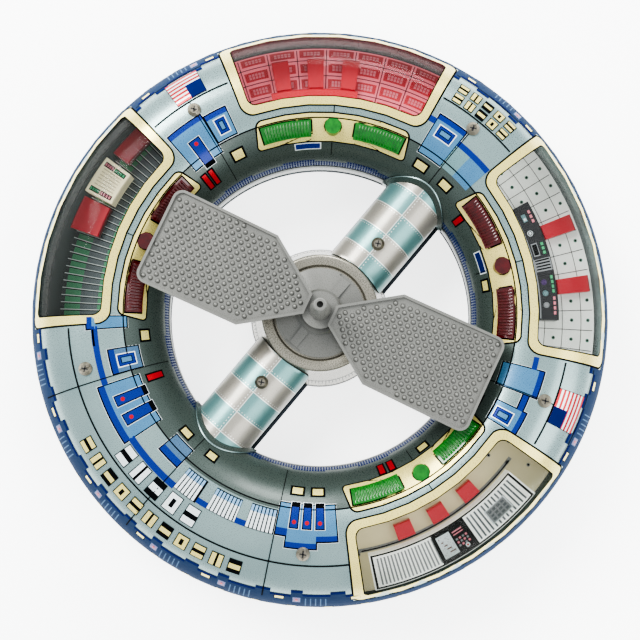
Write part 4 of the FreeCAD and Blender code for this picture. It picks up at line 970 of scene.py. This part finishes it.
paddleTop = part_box("paddle_left")[1].z / mm
paddle = {"heading": 194.8, "near": 6.3, "nearHalf": 5.1, "shoulder": 33.0, "shoulderHalf": 23.4, "far": 86.3,
          "farHalf": 24.1, "tray": paddleTop - 1.4, "inset": 2.7}
dimple = {"radius": 1.0, "height": 1.15, "foot": 1.3, "aside": 2.2,
          "pitch": 3.7, "rowPitch": 2.65, "tilt": 3.0}


def paddleInside(x, y, inset):
    # Keeps points inside the six-sided outline drawn in by the inset
    half = np.interp(x, [paddle["near"], paddle["shoulder"], paddle["far"]],
                     [paddle["nearHalf"], paddle["shoulderHalf"], paddle["farHalf"]])
    slanted = inset * np.where(x < paddle["shoulder"], 1.25, 1.0)
    corner = (x > paddle["far"] - 7) & (np.abs(y) > paddle["farHalf"] - 7 + 1.6 * (paddle["far"] - x))
    return (np.abs(y) < half - slanted) & (x > paddle["near"] + 2) & (x < paddle["far"] - inset) & ~corner


def domeCloud(x, y, radius, height, base):
    # A low dome at each point: two rings of eight and a tip
    turn = np.linspace(0, 2 * math.pi, 9)[:-1]
    rings = [(1.0, 0.0), (0.9, 0.55), (0.55, 0.88)]
    shape = np.concatenate([np.stack([radius * r * np.cos(turn), radius * r * np.sin(turn),
                                      np.full(8, height * h)], 1) for r, h in rings] + [[[0, 0, height]]])
    quads = gridQuads(3, 8, True)[:, ::-1]
    cap = np.array([[16 + k, 16 + (k + 1) % 8, 24] for k in range(8)])
    centres = np.stack([x, y, np.full(len(x), base)], 1)
    points = (centres[:, None] + shape[None]).reshape(-1, 3)
    first = (np.arange(len(x)) * len(shape))[:, None, None]
    return points, (quads[None] + first).reshape(-1, 4), (cap[None] + first).reshape(-1, 3)


def turnedPoints(points, heading):
    c, s = math.cos(math.radians(heading)), math.sin(math.radians(heading))
    x, y, z = points.T
    return np.stack([x * c - y * s, x * s + y * c, z], 1)


def makeDimples():
    rows, columns = np.meshgrid(np.arange(-14, 15), np.arange(-2, 26), indexing="ij")
    x = (columns + 0.5 * (rows % 2)) * dimple["pitch"] + 8
    y = rows * dimple["rowPitch"]
    tilt = math.radians(dimple["tilt"])
    c, s = math.cos(tilt), math.sin(tilt)
    x, y = (x * c - y * s).ravel(), (x * s + y * c).ravel() - dimple["aside"]
    keep = paddleInside(x, y, paddle["inset"])
    # shadedPolystyrene is the darker grey of the painted shade rings round the dimples
    shade = surfaceMaterial("shadedPolystyrene", "#51514d", 0.2, 0.45, "#474743", 18, 0.4, 0.35, 0.012)
    for name, heading in (("leftDimples", paddle["heading"]), ("rightDimples", paddle["heading"] - 180)):
        points, quads, caps = domeCloud(x[keep], y[keep], dimple["radius"], dimple["height"], paddle["tray"])
        makePiece(name, turnedPoints(points, heading), quads.tolist() + caps.tolist(),
                  finishes["grey_plastic"], "rotor", "grey_plastic")
        # painted shade: a darker, almost flat ring round the foot of each dimple, where the dome meets the
        # tray
        points, quads, caps = domeCloud(x[keep], y[keep], dimple["foot"], 0.05, paddle["tray"] + 0.02)
        makePiece(name + "ShadeRings", turnedPoints(points, heading), quads.tolist() + caps.tolist(), shade,
                  "rotor", "grey_plastic")


makeDimples()
print("lenses and paddles detailed")


# ---- stage, light, camera ----

def makeStage():
    size = 3.0
    mesh = bpy.data.meshes.new("floor")
    corners = [(-size, -size, 0), (size, -size, 0), (size, size, 0), (-size, size, 0)]
    mesh.from_pydata(corners, [], [(0, 1, 2, 3)])
    white = {"Emission Color": (1.0, 1.0, 1.0, 1.0), "Emission Strength": 0.95}
    mesh.materials.append(surfaceMaterial("paleFloor", "#f2f2f0", 0.0, 0.7, "#efefed", 200, 0.3, 0.4, 0.01,
                                          0.0, white))
    floor = bpy.data.objects.new("floor", mesh)
    bpy.context.collection.objects.link(floor)
    world = bpy.data.worlds.new("studio")
    bpy.context.scene.world = world
    world.use_nodes = True
    world.node_tree.nodes["Background"].inputs[0].default_value = (0.93, 0.96, 1.0, 1.0)
    world.node_tree.nodes["Background"].inputs[1].default_value = 0.65
    bpy.context.scene.view_settings.look = "AgX - High Contrast"
    bpy.context.scene.view_settings.exposure = 0.5


lamps = {
    "keyLight": {"from": (-0.75, 0.75, 1.15), "size": 0.7, "power": 16},
    "fillLight": {"from": (0.9, -0.5, 1.0), "size": 1.0, "power": 7},
    "rimLight": {"from": (0.2, 1.1, 0.7), "size": 0.5, "power": 5},
}


def aim(thing, target):
    thing.rotation_mode = "QUATERNION"
    thing.rotation_quaternion = (Vector(target) - thing.location).to_track_quat("-Z", "Y")


def makeLights(turn):
    for name, lamp in lamps.items():
        data = bpy.data.lights.new(name, "AREA")
        data.size = lamp["size"]
        data.energy = lamp["power"]
        light = bpy.data.objects.new(name, data)
        bpy.context.collection.objects.link(light)
        x, y, z = lamp["from"]
        light.location = (x * math.cos(turn) - y * math.sin(turn), x * math.sin(turn) + y * math.cos(turn), z)
        aim(light, (0, 0, 0.03))


lens = {"azimuth": 40.0, "elevation": 85.8, "distance": 0.52, "target": 0.04, "focal": 58.4,
        "shiftY": -0.0091}


def makeCamera():
    data = bpy.data.cameras.new("camera")
    camera = bpy.data.objects.new("camera", data)
    bpy.context.collection.objects.link(camera)
    azimuth, elevation = math.radians(lens["azimuth"]), math.radians(lens["elevation"])
    back = Vector((math.sin(azimuth) * math.cos(elevation), -math.cos(azimuth) * math.cos(elevation),
                   math.sin(elevation)))
    target = Vector((0, 0, lens["target"]))
    camera.location = target + back * lens["distance"]
    camera.rotation_mode = "QUATERNION"
    camera.rotation_quaternion = (-back).to_track_quat("-Z", "Y")
    data.lens = lens["focal"]
    data.sensor_width = 36
    data.shift_y = lens["shiftY"]
    data.clip_start = 0.01
    bpy.context.scene.camera = camera


makeStage()
makeLights(math.radians(40))
makeCamera()
print("stage set")
